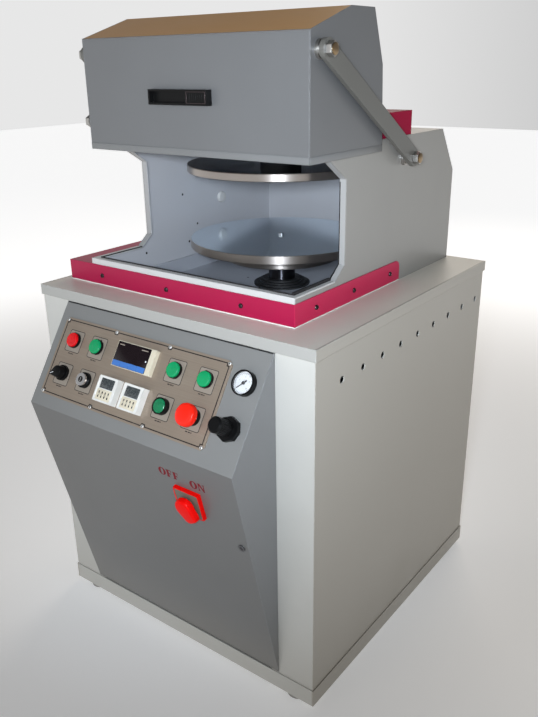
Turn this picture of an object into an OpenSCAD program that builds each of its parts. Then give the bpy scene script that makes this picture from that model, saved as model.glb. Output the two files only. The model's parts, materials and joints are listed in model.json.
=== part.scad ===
// Spin casting machine: a floor cabinet with a wedge-shaped control door, a turntable that lifts
// its mould against a hanging upper plate, and a hood that swings down on parallel arms.
// Sizes are in millimetres. X runs to the right, Y to the back and Z up from the floor.

/* [Cabinet] */
// Width over the countertop
cab_w = 670; // [640:1:760]
// Depth over the countertop
cab_d = 670; // [664:1:760]
// Height of the countertop's upper face above the floor
cab_h = 728; // [715:1:790]
// Depth of the countertop's folded edge
cap_t = 21; // [12:0.5:30]
// Distance that the countertop stands out past the panels
cap_lap = 3; // [2.5:0.5:8]
// Thickness of the cabinet's sheet
sheet = 2; // [1.5:0.1:2.4]
// Height of the plinth
plinth_h = 36; // [24:1:60]
// Thickness of the plinth's walls and floor
plinth_t = 4; // [2:0.5:6]
// Width of the fixed stile on each side of the door, folded from the side panel
stile_w = 95; // [85:1:105]
// Width of the side panel's rear return
return_w = 30; // [15:1:60]

/* [Feet] */
// Height of a levelling foot
foot_h = 10; // [6:0.5:30]
// Diameter of a foot's pad
foot_d = 45; // [30:1:60]
// Distance of a foot's axis from the cabinet's edges
foot_inset = 52; // [40:1:90]
// Distance of the feet's middle from the cabinet's front and back
foot_front = 27; // [25:1:60]
// Diameter of a foot's stud
foot_stud_d = 12; // [8:1:16]
// Length of a foot's stud above the pad
foot_stud_len = 22; // [12:1:28]

/* [Vents] */
// Diameter of a vent hole in the right panel
vent_d = 13; // [6:0.5:18]
// Number of vent holes
vent_count = 9; // [3:1:12]
// Distance of the first vent behind the cabinet's front
vent_front = 83; // [60:1:120]
// Distance of the last vent before the cabinet's back
vent_back = 36; // [30:1:80]
// Distance of the vents below the countertop's upper face
vent_drop = 78; // [40:1:140]

/* [Door] */
// Reach of the door's nose in front of the stiles
door_reach = 117; // [100:1:140]
// Height of the control face, from the nose up to the door's top edge
nose_drop = 176; // [165:1:200]
// Thickness of the door's sheet
door_t = 2; // [1.5:0.1:2.5]
// Gap between the closed door and the frame
door_gap = 1; // [0.8:0.1:2]
// Gap between the door's lower edge and the plinth
door_foot_gap = 3; // [1:0.5:12]
// Width of the door's inner return edge
door_return = 14; // [8:1:16]
// Diameter of a door hinge's barrel
hinge_d = 10; // [9:0.5:11]
// Diameter of a door hinge's pin
hinge_pin_d = 6; // [4:0.5:6.5]
// Length of one half of a door hinge
hinge_len = 30; // [20:1:50]
// Distance of each hinge from the door's upper and lower edges
hinge_inset = 80; // [40:1:160]

/* [Control plate] */
// Width of the control plate
panel_w = 420; // [412:1:430]
// Height of the control plate
panel_h = 156; // [150:1:160]
// Thickness of the control plate
panel_t = 2; // [1:0.1:3]
// Distance of the plate's left edge from the door's left edge
panel_left = 18; // [14:1:30]
// Distance of the plate's upper edge from the door's upper edge, along the face
panel_top = 31; // [26:1:36]
// Length of the plate's corner cuts
panel_cut = 7; // [2:1:12]
// Distance of the upper row of controls below the plate's upper edge
row_upper = 42; // [38:1:46]
// Distance between the two rows of controls
row_pitch = 66; // [62:1:70]
// Distance of the first column of controls from the plate's left edge
col_a = 43; // [36:1:48]
// Distance of the second column from the plate's left edge
col_b = 107; // [100:1:112]
// Distance of the third column from the plate's left edge
col_c = 307; // [300:1:314]
// Distance of the fourth column from the plate's left edge
col_d = 378; // [370:1:386]
// Distance of the gauge and the regulator from the plate's right edge
col_air = 36; // [32:1:46]
// Distance of the gauge and the regulator from the door's right edge
air_edge = 34; // [30:1:42]

/* [Buttons] */
// Diameter of a button's bezel
bezel_d = 30; // [28:0.5:32]
// Height of a low bezel above the plate
bezel_h = 6; // [4:0.5:8]
// Height of the tall bezel on the flush button
tall_bezel_h = 11; // [8:0.5:14]
// Width of a low bezel's ring round its cap
bezel_ring = 0.9; // [0.8:0.1:2]
// Width of the tall bezel's ring round the flush cap
tall_ring = 1.7; // [1:0.1:2.5]
// Diameter of the plunger that guides a button
plunger_d = 16; // [12:0.5:18]
// Height of a lamp cap above its bezel
cap_rise = 5; // [3:0.5:8]
// Height of the flush cap above its bezel
flush_rise = 1; // [0.5:0.5:2]
// Depth of a button's barrel behind the plate
barrel_len = 36; // [24:1:40]
// Diameter of a barrel, which is the size of the panel hole
barrel_d = 22; // [20:0.5:24]
// Travel of a push button
press = 3; // [2:0.5:5]
// Gap around a cap in its bezel
cap_gap = 0.3; // [0.2:0.05:0.6]
// Diameter of the emergency stop's mushroom
stop_d = 40; // [32:1:44]
// Thickness of the mushroom
stop_t = 15; // [8:1:20]
// Travel of the emergency stop
stop_press = 6; // [4:0.5:8]
// Length of the selector's pointer knob
selector_len = 31; // [26:1:34]

/* [Meters and timers] */
// Width of the speed display
display_w = 96; // [90:1:100]
// Height of the speed display
display_h = 48; // [44:1:52]
// Distance of the display's centre from the plate's left edge
display_x = 212; // [206:1:218]
// Width and height of a timer
timer_w = 48; // [44:1:52]
// Distance between the two timers
timer_pitch = 64; // [56:1:68]
// Distance of the first timer's centre from the plate's left edge
timer_x = 178; // [174:1:182]
// Distance of the timers below the lower row of controls
timer_drop = 4; // [0:0.5:6]
// Height of a timer's cover above the plate
timer_rise = 14; // [6:0.5:18]
// Height of the speed display's front above the plate
meter_rise = 9; // [3:0.5:12]
// Depth of a panel instrument's case behind the plate
meter_depth = 60; // [40:1:70]
// Diameter of the pressure gauge
gauge_d = 43; // [38:0.5:46]
// Distance of the gauge above the upper row of controls
gauge_lift = 12; // [8:1:14]
// Height of the gauge above the door's face
gauge_h = 11; // [9:0.5:20]
// Width of the gauge's bezel ring
gauge_rim = 2.5; // [2:0.5:4.5]
// Depth of the gauge's dial below its rim
gauge_sink = 5; // [4:0.5:6]
// Width across the corners of the regulator's panel nut
nut_d = 43; // [40:1:48]
// Diameter of the regulator's knob
reg_d = 27; // [24:1:34]
// Height of the regulator's knob end above the door's face
reg_h = 47; // [40:1:56]

/* [Main switch and lock] */
// Distance of the main switch from the door's middle
switch_x = 140; // [120:1:150]
// Distance of the main switch below the door's nose
switch_t = 97; // [80:1:110]
// Width and height of the switch's plate
switch_w = 57; // [50:1:64]
// Thickness of the switch's plate
switch_plate_t = 7; // [4:0.5:10]
// Diameter of the switch handle's round end
handle_d = 38; // [30:1:44]
// Height of the switch handle's top above the door's face
handle_h = 24; // [22:1:44]
// Distance of the lock from the door's right edge
lock_x = 16; // [14:0.5:26]
// Distance of the lock below the door's nose
lock_t = 163; // [150:1:200]
// Diameter of the lock's plug
lock_d = 10; // [8:0.5:12]

/* [Housing] */
// Width over the housing's walls
house_w = 496; // [470:1:498]
// Thickness of the housing's walls
wall_t = 3; // [2:0.5:4]
// Distance of the tray's front face behind the cabinet's front
tray_y = 66; // [58:1:80]
// Height of the tray's lip above the countertop
lip_h = 52; // [46:0.5:53]
// Width of the tray's lip
lip_w = 14; // [8:1:20]
// Depth of the tray's floor below the countertop
well = 32; // [24:1:40]
// Distance of the wall's chin behind the cabinet's front
chin_y = 190; // [150:1:205]
// Distance of the wall's recessed edge behind the cabinet's front
notch_y = 222; // [212:1:240]
// Height where the recessed edge starts
notch_low = 74; // [64:1:90]
// Height where the recessed edge ends
notch_high = 224; // [200:1:235]
// Distance of the wall's nose behind the cabinet's front
nose_y = 168; // [155:1:185]
// Height of the nose's lower corner
nose_low = 260; // [245:1:265]
// Height of the nose's upper corner
nose_high = 272; // [268:1:275]
// Length of the slope over the nose
brow = 17; // [8:1:40]
// Height of the housing's top above the countertop
top_h = 280; // [278:1:281]
// Distance from the housing's back to the end of its flat top
top_back = 63; // [40:1:90]
// Distance of the housing's back before the cabinet's back
house_back = 12; // [6:1:16]
// Height of the rear slope's lower corner
slope_low = 192; // [150:1:240]
// Width of the return flange on the walls' front edges
flange_w = 14; // [8:1:24]
// Width of the rubber seal's section
seal_w = 5; // [3:0.5:7]
// Width of the rubber seal on the walls' flanges
wall_seal_w = 2; // [1.5:0.5:4]

/* [Skirt] */
// Thickness of the skirt
skirt_t = 2; // [1.5:0.1:2.5]
// Height of the skirt
skirt_h = 39; // [30:0.5:42]
// Gap under the skirt
skirt_lift = 2; // [1:0.5:4]
// Width of the boxed ledge on the left
ledge_w = 66; // [30:1:70]
// Distance of the skirt's rear end behind the cabinet's front
skirt_back = 428; // [380:1:500]
// Radius of the skirt's rounded rear corners
skirt_r = 14; // [6:1:18]

/* [Turntable] */
// Distance of the spindle's axis behind the cabinet's front
axis_y = 372; // [365:1:380]
// Diameter of both mould plates
plate_d = 382; // [300:1:390]
// Thickness of the lower plate's rim
plate_t = 17; // [10:0.5:19]
// Height of the lower plate's face above the countertop
plate_top = 72.5; // [70:0.5:80]
// Diameter of the hub under the lower plate
under_d = 240; // [200:1:290]
// Thickness of the hub under the lower plate
under_t = 28; // [20:0.5:32]
// Clear height between the plates
plate_gap = 136.5; // [130:0.5:142]
// Thickness of the upper plate
upper_t = 15; // [10:0.5:17]
// Diameter of the centring pin on the lower plate
centre_d = 14; // [8:0.5:20]
// Height of the centring pin
centre_h = 5; // [2:0.5:8]
// Diameter of the spindle
spindle_d = 56; // [44:1:58]
// Outer diameter of the driven sleeve around the spindle
sleeve_d = 84; // [78:1:90]
// Outer diameter of the ribbed shaft seal
seal_d = 120; // [110:1:126]
// Height of the ribbed shaft seal
seal_h = 14; // [8:1:21]
// Number of ribs on the shaft seal
seal_ribs = 4; // [2:1:6]
// Lift of the lower plate
lift = 120; // [100:1:124]
// Radial clearance of a turning shaft in its bore
run_gap = 0.05; // [0.02:0.01:0.1]
// Gap between moving faces
face_gap = 0.3; // [0.2:0.05:0.6]

/* [Upper bearing] */
// Outer diameter of the upper plate's hollow shaft
shaft_d = 60; // [56:1:70]
// Diameter of the pouring bore through the shaft
pour_d = 44; // [30:1:48]
// Diameter of the pouring mouth on top of the shaft
mouth_d = 84; // [76:1:90]
// Thickness of the bridge between the walls
bridge_t = 12; // [8:1:16]
// Depth of the bridge, front to back
bridge_w = 140; // [120:1:165]
// Diameter of the bearing's hub under the bridge
hub_d = 84; // [76:1:130]
// Depth of the cover over the bearing, front to back
cover_w = 170; // [150:1:176]
// Height of the cover over the bearing
cover_h = 44; // [34:1:50]
// Thickness of the cover's sheet
cover_t = 2; // [1.5:0.1:3]

/* [Drive] */
// Thickness of the drive frame's plates
frame_t = 12; // [8:1:16]
// Half of the drive frame's depth
frame_half = 110; // [90:1:120]
// Outer diameter of the spindle's bearing tube
bearing_d = 124; // [116:1:140]
// Length of the spindle's bearing tube
bearing_len = 100; // [80:1:120]
// Diameter of the spindle's pulley
big_pulley_d = 180; // [150:1:190]
// Diameter of the motor's pulley
small_pulley_d = 120; // [90:1:130]
// Height of both pulleys
pulley_h = 34; // [28:1:44]
// Depth of a pulley's groove
groove = 12; // [9:0.5:14]
// Width of the belt
belt_w = 16; // [12:0.5:18]
// Distance of the motor's axis from the right panel's face
motor_side = 136; // [130:1:142]
// Diameter of the motor's body
motor_d = 160; // [130:1:166]
// Length of the motor's body
motor_len = 230; // [180:1:260]
// Diameter of the motor's shaft
motor_shaft_d = 24; // [16:1:30]
// Number of cooling fins round the motor
motor_fins = 20; // [8:1:28]
// Diameter of the air cylinder's tube
cyl_d = 84; // [70:1:90]
// Length of the air cylinder's tube
cyl_len = 270; // [255:1:290]
// Width of the air cylinder's heads
cyl_head_w = 100; // [94:1:110]
// Thickness of the air cylinder's heads
cyl_head_t = 25; // [18:1:30]
// Diameter of the air cylinder's rod
rod_d = 25; // [18:1:28]

/* [Services] */
// Width, depth and height of the speed drive
inverter = [110, 150, 230]; // [80:1:260]
// Length, depth and height of the valve block
valve = [150, 44, 36]; // [30:1:180]
// Bore of the air inlet
inlet_d = 10; // [6:0.5:12]
// Distance that the air inlet stands out behind the back panel
inlet_len = 22; // [14:1:30]
// Bore of the cable gland
gland_d = 14; // [8:0.5:16]
// Height of the inlet and the gland above the floor
service_z = 150; // [100:1:300]

/* [Hood] */
// Width over the hood's sides
hood_w = 508; // [506:1:514]
// Thickness of the hood's sheet
hood_t = 2; // [1.5:0.1:2.2]
// Distance of the hood's front behind the cabinet's front
hood_y = 100; // [95:1:104]
// Height of the raised hood's lower edge above the countertop
hood_z = 260.5; // [255:0.5:266]
// Height of the hood's front
hood_h = 196; // [190:1:205]
// Depth of the hood's sides at the lower edge
hood_depth = 231; // [220:1:245]
// Depth of the sloping roof
roof_run = 117; // [100:1:125]
// Rise of the sloping roof
roof_rise = 37; // [25:1:50]
// Depth of the flat top behind the roof
crown_run = 72; // [60:1:80]
// Height of the shoulder on the sides' rear edges
shoulder_h = 145; // [120:1:165]
// Distance of the shoulder before the rear corner
shoulder_in = 9; // [2:1:20]
// Width of the pull handle
pull_w = 136; // [126:1:160]
// Height of the pull handle
pull_h = 25.5; // [24:0.5:30]
// Reach of the pull handle in front of the hood
pull_reach = 13; // [12:0.5:18]
// Distance of the pull handle's centre from the hood's middle
pull_x = -11; // [-30:0.5:0]
// Height of the pull handle's centre above the hood's lower edge
pull_z = 98; // [80:1:120]
// Wall of the pull handle's frame
pull_wall = 3.5; // [2.5:0.5:4.5]
// Width of the latch paddle in the handle
latch_w = 42; // [34:1:46]
// Travel of the latch paddle
latch_press = 4; // [2:0.5:4]

/* [Arms] */
// Distance of the housing's pivots behind the cabinet's front
pivot_y = 428; // [415:1:440]
// Height of the housing's upper pivots above the countertop
pivot_z = 240.5; // [235:0.5:250]
// Distance of the hood's pivots behind the hood's front
hood_pivot_y = 24; // [20:1:30]
// Height of the hood's upper pivots above its lower edge
hood_pivot_z = 169; // [160:1:172]
// Distance between the upper and the lower pivots on the left
lower_drop = 120; // [100:1:125]
// Width of the main arms
arm_w = 32; // [28:1:36]
// Width of the lower left arm
lower_arm_w = 24; // [22:1:28]
// Thickness of the arms
arm_t = 8; // [6:0.5:10]
// Gap between the hood's side and the arms
arm_stand = 10; // [9:1:28]
// Diameter of a pivot's shank
shank_d = 16; // [12:0.5:18]
// Diameter of a pivot's collar
collar_d = 30; // [27:1:40]
// Length of a pivot's collar
collar_len = 6; // [4:0.5:8]
// Length of a pivot's bolt head
bolt_len = 10; // [8:0.5:14]
// Clearance round the lower arm's front pivot
open_gap = 0.4; // [0.3:0.05:0.8]

/* [Hidden] */
$fn = 64;
// Overlap of joined shapes and overshoot of cuts
eps = 0.5;
// Play of a fixed piece in its hole, on the diameter
hole_play = 1;
// Play of a turning piece in a sheet's hole, on the diameter
pass_play = 4;
// Gap beyond the end of a shaft in a blind bore
bore_end = 4;
// Depth of the cut-outs behind the door's faces
cut_depth = 6;

// Cabinet levels and faces
panel_x = cab_w / 2 - cap_lap;
back_half = panel_x - 2 * sheet;
plinth_in = 1;
foot_xs = [-1, 1] * (cab_w / 2 - foot_inset);
foot_ys = [foot_front, cab_d - foot_front];
front_y = cap_lap;
rear_y = cab_d - cap_lap;
floor_z = foot_h + plinth_h;
cap_z = cab_h - cap_t;
ceiling_z = cab_h - sheet;

// Door outline, in Y and Z
door_w = panel_left + panel_w + col_air + air_edge;
door_y = front_y - door_gap;
door_top_z = cap_z - door_gap;
door_low_z = floor_z + door_foot_gap;
door_nose_z = door_top_z - nose_drop;
lower_drop_z = door_nose_z - door_low_z;
upper_len = norm([door_reach, nose_drop]);
lower_len = norm([door_reach, lower_drop_z]);
door_path = [[door_y, door_top_z], [door_y - door_reach, door_nose_z], [door_y, door_low_z]];
door_left = -door_w / 2;
hinge_x = door_left - hinge_d / 2 - eps;
hinge_stand = 1;
hinge_y = door_y - hinge_d / 2 - hinge_stand;
hinge_pad = 6;
hinge_pin_len = 2 * hinge_len - 4;
hinge_zs = [door_low_z + hinge_inset, door_top_z - hinge_inset - 2 * hinge_len];

// Places of the controls on the door's faces, as X and distance down the face
plate_left = door_left + panel_left;
row_1 = panel_top + row_upper;
row_2 = row_1 + row_pitch;
red_at = [plate_left + col_a, row_1];
green_at = [
  [plate_left + col_b, row_1],
  [plate_left + col_c, row_1],
  [plate_left + col_d, row_1],
  [plate_left + col_c, row_2]];
stop_at = [plate_left + col_d, row_2];
selector_at = [plate_left + col_a, row_2];
key_at = [plate_left + col_b, row_2];
display_at = [plate_left + display_x, row_1];
timer_at = [for (i = [0, 1]) [plate_left + timer_x + i * timer_pitch, row_2 + timer_drop]];
gauge_at = [plate_left + panel_w + col_air, row_1 - gauge_lift];
reg_at = [plate_left + panel_w + col_air, row_2];
switch_at = [switch_x, switch_t];
lock_at = [door_w / 2 - lock_x, lock_t];
round_at = concat([red_at, stop_at, selector_at, key_at], green_at);
meter_lip = 3;
gauge_neck_d = gauge_d - 6;
gauge_back = 24;
arbor_d = 3;
arbor_len = 5;
reg_neck_d = reg_d - 4;
reg_neck_h = 15;
reg_stem_d = 10;
reg_stem_h = reg_h - 8;
stop_collar_h = 7;
switch_stem_d = 12;
switch_stem_len = 28;
switch_sink = 3;
lock_flange = 2;
lock_len = 26;
cam_gap = 1;
cam_reach = lock_x - door_t - cam_gap;
cam_len = sqrt(pow(cam_reach, 2) - pow(lock_d / 2, 2));
cam_t = 3;

// Plungers that the round controls carry down their barrels
barrel_end = 4;
plunger_len = barrel_len - barrel_end - bore_end - stop_press;
cap_sink = 2;
cap_d = bezel_d - 2 * bezel_ring - 2 * cap_gap;
flush_d = bezel_d - 2 * tall_ring - 2 * cap_gap;

// Origin: middle of the outline on the floor
reg_front = door_y - (reg_at[1] + reg_d / 2) * door_reach / upper_len - reg_h * nose_drop / upper_len;
handle_front = door_y - door_reach + (switch_t - handle_d / 2) * door_reach / lower_len
  - handle_h * lower_drop_z / lower_len;
origin_y = (min(reg_front, handle_front) + rear_y + inlet_len) / 2;

// Housing outline, in Y and height above the countertop
house_x = house_w / 2;
back_y = cab_d - house_back;
wall_front = tray_y + wall_t;
well_x = house_x - wall_t;
well_d = back_y - wall_t - tray_y;
lip_low = lip_h - wall_t;
wall_outline = [
  [wall_front, 0], [wall_front, lip_low], [chin_y, lip_low], [notch_y, notch_low], [notch_y, notch_high],
  [nose_y, nose_low], [nose_y, nose_high], [nose_y + brow, top_h], [back_y - top_back, top_h],
  [back_y, slope_low], [back_y, 0]];

// Turntable levels, above the countertop
under_low = plate_top - plate_t - under_t;
upper_low = plate_top + plate_gap;
upper_high = upper_low + upper_t;
bridge_low = top_h - wall_t - bridge_t;
hub_low = upper_high + face_gap;

// Drive levels above the floor
frame_top = cab_h - well - sheet;
sleeve_high = frame_top - bore_end;
bearing_low = frame_top - frame_t - bearing_len;
pulley_high = bearing_low - face_gap;
pulley_low = pulley_high - pulley_h;
pulley_mid = pulley_high - pulley_h / 2;
spindle_tail = 50;
spindle_low = pulley_low - spindle_tail;
motor_drop = 16;
motor_high = pulley_low - motor_drop;
motor_low = motor_high - motor_len;
motor_shaft_len = 55;
cyl_low = floor_z + cyl_head_t;
cyl_high = cyl_low + cyl_len + cyl_head_t;
pad_t = 12;
pad_d = 0.85 * spindle_d;
rod_guide = 30;
rod_low = cyl_high - lift - rod_guide;
motor_x = panel_x - motor_side;
motor_stand = 12;
well_gap = 2;
hanger_x = motor_x + motor_d / 2 + motor_stand;

// Hood outline, in Y and height above the countertop
hood_x = hood_w / 2;
hood_top = hood_z + hood_h;
roof_path = [
  [hood_y, hood_top], [hood_y + roof_run, hood_top + roof_rise],
  [hood_y + roof_run + crown_run, hood_top + roof_rise]];
hood_outline = concat(
  [[hood_y, hood_z]], roof_path,
  [[hood_y + hood_depth - shoulder_in, hood_z + shoulder_h], [hood_y + hood_depth, hood_z]]);
pull_back = 2.5;

// Arm planes and pivots
arm_x = hood_x + arm_stand;
hood_pin = [hood_y + hood_pivot_y, hood_z + hood_pivot_z];
house_pin = [pivot_y, pivot_z];
lower_off = [0, -lower_drop];
spacer_d = shank_d + 8;

// Sheet that follows an open path: the path and its copy set off to the left, with mitred folds
function unit(v) = v / norm(v);
function left(v) = [-v[1], v[0]];
function mitre(a, b, c) = let (m = left(unit(b - a)), n = left(unit(c - b))) (m + n) / (1 + m * n);
function offset_dir(path, i) =
  i == 0 ? left(unit(path[1] - path[0]))
  : i == len(path) - 1 ? left(unit(path[i] - path[i - 1]))
  : mitre(path[i - 1], path[i], path[i + 1]);
function band(path, t) = concat(path, [for (i = [len(path) - 1:-1:0]) path[i] + t * offset_dir(path, i)]);

// Shifts a point list by a constant
function shifted(points, by) = [for (p = points) p + by];

// Moves the machine so that its origin lies under the middle of its outline
module place() {
  translate([0, -origin_y, 0]) children();
}

// Same, with heights counted from the countertop
module on_top() {
  place() translate([0, 0, cab_h]) children();
}

// Extrudes an outline in Y and Z along X, from x to x + w
module along_x(x, w) {
  translate([x, 0, 0]) rotate([90, 0, 90]) linear_extrude(w) children();
}

// Puts a shape on the control face, with its axis pointing out of the face
module on_upper(at) {
  place()
    translate([at[0], door_y, door_top_z])
      rotate([atan2(nose_drop, door_reach), 0, 0])
        translate([0, -at[1], 0])
          children();
}

// Puts a shape on the door's lower face, with its axis pointing out of the face
module on_lower(at) {
  place()
    translate([at[0], door_y - door_reach, door_nose_z])
      rotate([atan2(lower_drop_z, -door_reach), 0, 0])
        translate([0, -at[1], 0])
          children();
}

// Centred box between two heights
module block(w, d, low, high) {
  translate([-w / 2, -d / 2, low]) cube([w, d, high - low]);
}

// Round bar between two heights
module rod(d, low, high) {
  translate([0, 0, low]) cylinder(d = d, h = high - low);
}

// Round bar along X between two planes, at a point in Y and Z
module pin_x(d, at, low, high, sides = 64) {
  translate([low, at[0], at[1]]) rotate([0, 90, 0]) cylinder(d = d, h = high - low, $fn = sides);
}

// Levelling feet with their studs
module feet() {
  color("dimgray") place()
    for (x = foot_xs, y = foot_ys)
      translate([x, y, 0]) rotate_extrude()
        polygon([
          [0, 0], [foot_d / 2, 0], [foot_d / 2, foot_h * 0.55], [foot_stud_d, foot_h],
          [foot_stud_d / 2, foot_h], [foot_stud_d / 2, foot_h + foot_stud_len], [0, foot_h + foot_stud_len]]);
}

// Plinth with the cabinet's floor and the plates that hold the feet
module base_frame() {
  half = cab_w / 2 - plinth_in;
  depth = cab_d - 2 * plinth_in;
  color("gainsboro") place() difference() {
    translate([-half, plinth_in, foot_h]) cube([2 * half, depth, plinth_h]);
    difference() {
      translate([plinth_t - half, plinth_in + plinth_t, foot_h - eps])
        cube([2 * (half - plinth_t), depth - 2 * plinth_t, plinth_h - plinth_t + eps]);
      for (x = foot_xs, y = foot_ys)
        translate([x, y, 0]) block(2 * foot_inset, 2 * foot_front, foot_h - 2 * eps, foot_h + plinth_t);
    }
    for (x = foot_xs, y = foot_ys)
      translate([x, y, 0]) rod(foot_stud_d + hole_play, 0, floor_z - plinth_t - 2 * eps);
  }
}

// Plan of a side panel: front stile, side and rear return in one folded sheet
module panel_plan() {
  path = [
    [panel_x - stile_w, front_y], [panel_x, front_y], [panel_x, rear_y], [panel_x - return_w, rear_y]];
  polygon(band(path, sheet));
}

module side_panel_left() {
  color("gainsboro") place() mirror([1, 0, 0]) translate([0, 0, floor_z])
    linear_extrude(ceiling_z - floor_z) panel_plan();
}

module side_panel_right() {
  pitch = (cab_d - vent_front - vent_back) / (vent_count - 1);
  color("gainsboro") place() difference() {
    translate([0, 0, floor_z]) linear_extrude(ceiling_z - floor_z) panel_plan();
    for (i = [0:vent_count - 1])
      pin_x(vent_d, [vent_front + i * pitch, cab_h - vent_drop], panel_x - sheet - eps, panel_x + eps);
  }
}

// Removable back panel, held behind the side panels' returns
module back_panel() {
  color("gainsboro") place() difference() {
    translate([-back_half, rear_y - 2 * sheet, floor_z]) cube([2 * back_half, sheet, ceiling_z - floor_z]);
    at_fitting(-1) rod(thread_d(inlet_d) + hole_play, -3 * sheet, eps);
    at_fitting(1) rod(thread_d(gland_d) + hole_play, -3 * sheet, eps);
  }
}

// Thread of a fitting with the given bore
function thread_d(bore) = bore + 7;

// Place of the air inlet on the left and of the cable gland on the right, pointing to the back
module at_fitting(side) {
  translate([side * back_half / 2, rear_y, service_z]) rotate([-90, 0, 0]) children();
}

// Folded countertop with the opening that the tray hangs in
module countertop() {
  color("gainsboro") place() difference() {
    translate([-cab_w / 2, 0, cap_z]) cube([cab_w, cab_d, cap_t]);
    translate([sheet - cab_w / 2, sheet, cap_z - eps])
      cube([cab_w - 2 * sheet, cab_d - 2 * sheet, cap_t - sheet + eps]);
    translate([-well_x, tray_y, cap_z]) cube([2 * well_x, well_d, cap_t + eps]);
  }
}

// Right wall of the housing: sheet, return flange on the front edge and welded pivots
module housing_wall(pins) {
  along_x(house_x - wall_t, wall_t) polygon(wall_outline);
  along_x(house_x - flange_w, flange_w - wall_t + eps) intersection() {
    difference() {
      polygon(wall_outline);
      translate([wall_t, 0]) polygon(wall_outline);
    }
    translate([nose_y - eps, lip_low + eps]) square([notch_y, nose_low - lip_low]);
  }
  for (at = pins) pivot(at, house_x, arm_x);
}

// Welded pivot: collar, spacer and shank, with a bolt head outside the arm
module pivot(at, low, arm_low) {
  pin_x(collar_d, at, low - eps, low + collar_len);
  pin_x(spacer_d, at, low, arm_low - face_gap);
  pin_x(shank_d, at, low, arm_low + arm_t + bolt_len);
  pin_x(spacer_d, at, arm_low + arm_t + face_gap, arm_low + arm_t + bolt_len, 6);
}

module housing_right_wall() {
  color("silver") on_top() housing_wall([house_pin]);
}

module housing_left_wall() {
  color("silver") on_top() mirror([1, 0, 0]) housing_wall([house_pin, house_pin + lower_off]);
}

// Folded sheet between the walls: top, rear slope and back
module housing_shell() {
  inner = house_x - wall_t;
  path = [[back_y, 0], [back_y, slope_low], [back_y - top_back, top_h], [nose_y + brow, top_h]];
  color("silver") on_top() difference() {
    along_x(-inner, 2 * inner) polygon(band(path, wall_t));
    translate([0, axis_y, 0]) rod(mouth_d + pass_play, top_h - wall_t - eps, top_h + eps);
  }
}

// Tray that hangs in the countertop: well, front wall and the lip round the front opening
module tray() {
  color("lightgray") on_top() difference() {
    union() {
      translate([-house_x, tray_y, 0]) cube([house_w, wall_t, lip_h]);
      translate([-well_x, tray_y, -well - sheet]) cube([2 * well_x, well_d, well + sheet]);
      translate([-house_x, tray_y, lip_low]) linear_extrude(wall_t) difference() {
        square([house_w, chin_y - tray_y]);
        translate([lip_w, lip_w]) square([house_w - 2 * lip_w, chin_y - tray_y]);
      }
    }
    translate([wall_t - well_x, wall_front, -well])
      cube([2 * (well_x - wall_t), well_d - 2 * wall_t, well + eps]);
    translate([0, axis_y, 0]) rod(spindle_d + pass_play, -well - sheet - eps, eps - well);
  }
}

// Rubber seal on the tray's lip and on the walls' flanges
module opening_seal() {
  inset = lip_w - seal_w;
  chin = [chin_y, lip_low];
  notch = [notch_y, notch_low];
  path = [chin + seal_w * unit(notch - chin), notch, [notch_y, notch_high - seal_w]];
  color("black") on_top() {
    translate([-house_x, tray_y, lip_h]) linear_extrude(seal_w) difference() {
      translate([inset, inset]) square([house_w - 2 * inset, chin_y - tray_y - inset]);
      translate([lip_w, lip_w]) square([house_w - 2 * lip_w, chin_y - tray_y]);
    }
    for (side = [0, 1]) mirror([side, 0, 0])
      along_x(house_x - flange_w, wall_seal_w) polygon(band(path, seal_w));
  }
}

// Painted skirt round the housing's foot, with a boxed ledge on the left
module skirt() {
  outer_left = -house_x - ledge_w;
  outer_right = house_x + skirt_t;
  front = tray_y - skirt_t;
  high = skirt_lift + skirt_h;
  path = [
    [outer_left, skirt_back], [outer_left, front], [outer_right, front], [outer_right, skirt_back]];
  color("crimson") on_top() difference() {
    union() {
      translate([0, 0, skirt_lift]) linear_extrude(skirt_h) polygon(band(path, skirt_t));
      translate([outer_left, front, high - skirt_t]) cube([ledge_w, skirt_back - front, skirt_t]);
      translate([outer_left, skirt_back - skirt_t, skirt_lift]) cube([ledge_w, skirt_t, skirt_h]);
    }
    along_x(house_x - eps, skirt_t + 2 * eps) difference() {
      translate([skirt_back - skirt_r, high - skirt_r]) square(skirt_r + eps);
      translate([skirt_back - skirt_r, high - skirt_r]) circle(r = skirt_r);
    }
  }
}

// Painted cover over the upper bearing, with the pouring hole
module bearing_cover() {
  width = house_w - 2 * cover_t;
  color("crimson") on_top() translate([0, axis_y, 0]) difference() {
    block(width, cover_w, top_h, top_h + cover_h);
    block(width - 2 * cover_t, cover_w - 2 * cover_t, top_h - eps, top_h + cover_h - cover_t);
    rod(mouth_d + 2 * pass_play, top_h, top_h + cover_h + eps);
  }
}

// Bridge between the walls with the hub of the upper bearing
module upper_bearing() {
  color("slategray") on_top() translate([0, axis_y, 0]) difference() {
    union() {
      block(house_w - 2 * wall_t, bridge_w, bridge_low, top_h - wall_t);
      rod(hub_d, hub_low, bridge_low + eps);
    }
    rod(shaft_d + 2 * run_gap, hub_low - eps, top_h);
  }
}

// Welded drive frame: plate under the tray, rails up to the countertop, bearing tube and motor hanger
module drive_frame() {
  half = hanger_x + frame_t;
  rail = half - well_x - well_gap;
  color("slategray") place() translate([0, axis_y, 0]) difference() {
    union() {
      translate([-half, -frame_half, frame_top - frame_t]) cube([2 * half, 2 * frame_half, frame_t]);
      for (x = [-half, half - rail])
        translate([x, -frame_half, frame_top - eps])
          cube([rail, 2 * frame_half, ceiling_z - frame_top + eps]);
      rod(bearing_d, bearing_low, frame_top);
      translate([hanger_x, -frame_half / 2, motor_low]) cube([frame_t, frame_half, frame_top - motor_low]);
    }
    rod(sleeve_d + 2 * run_gap, bearing_low - eps, frame_top + eps);
  }
}

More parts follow.
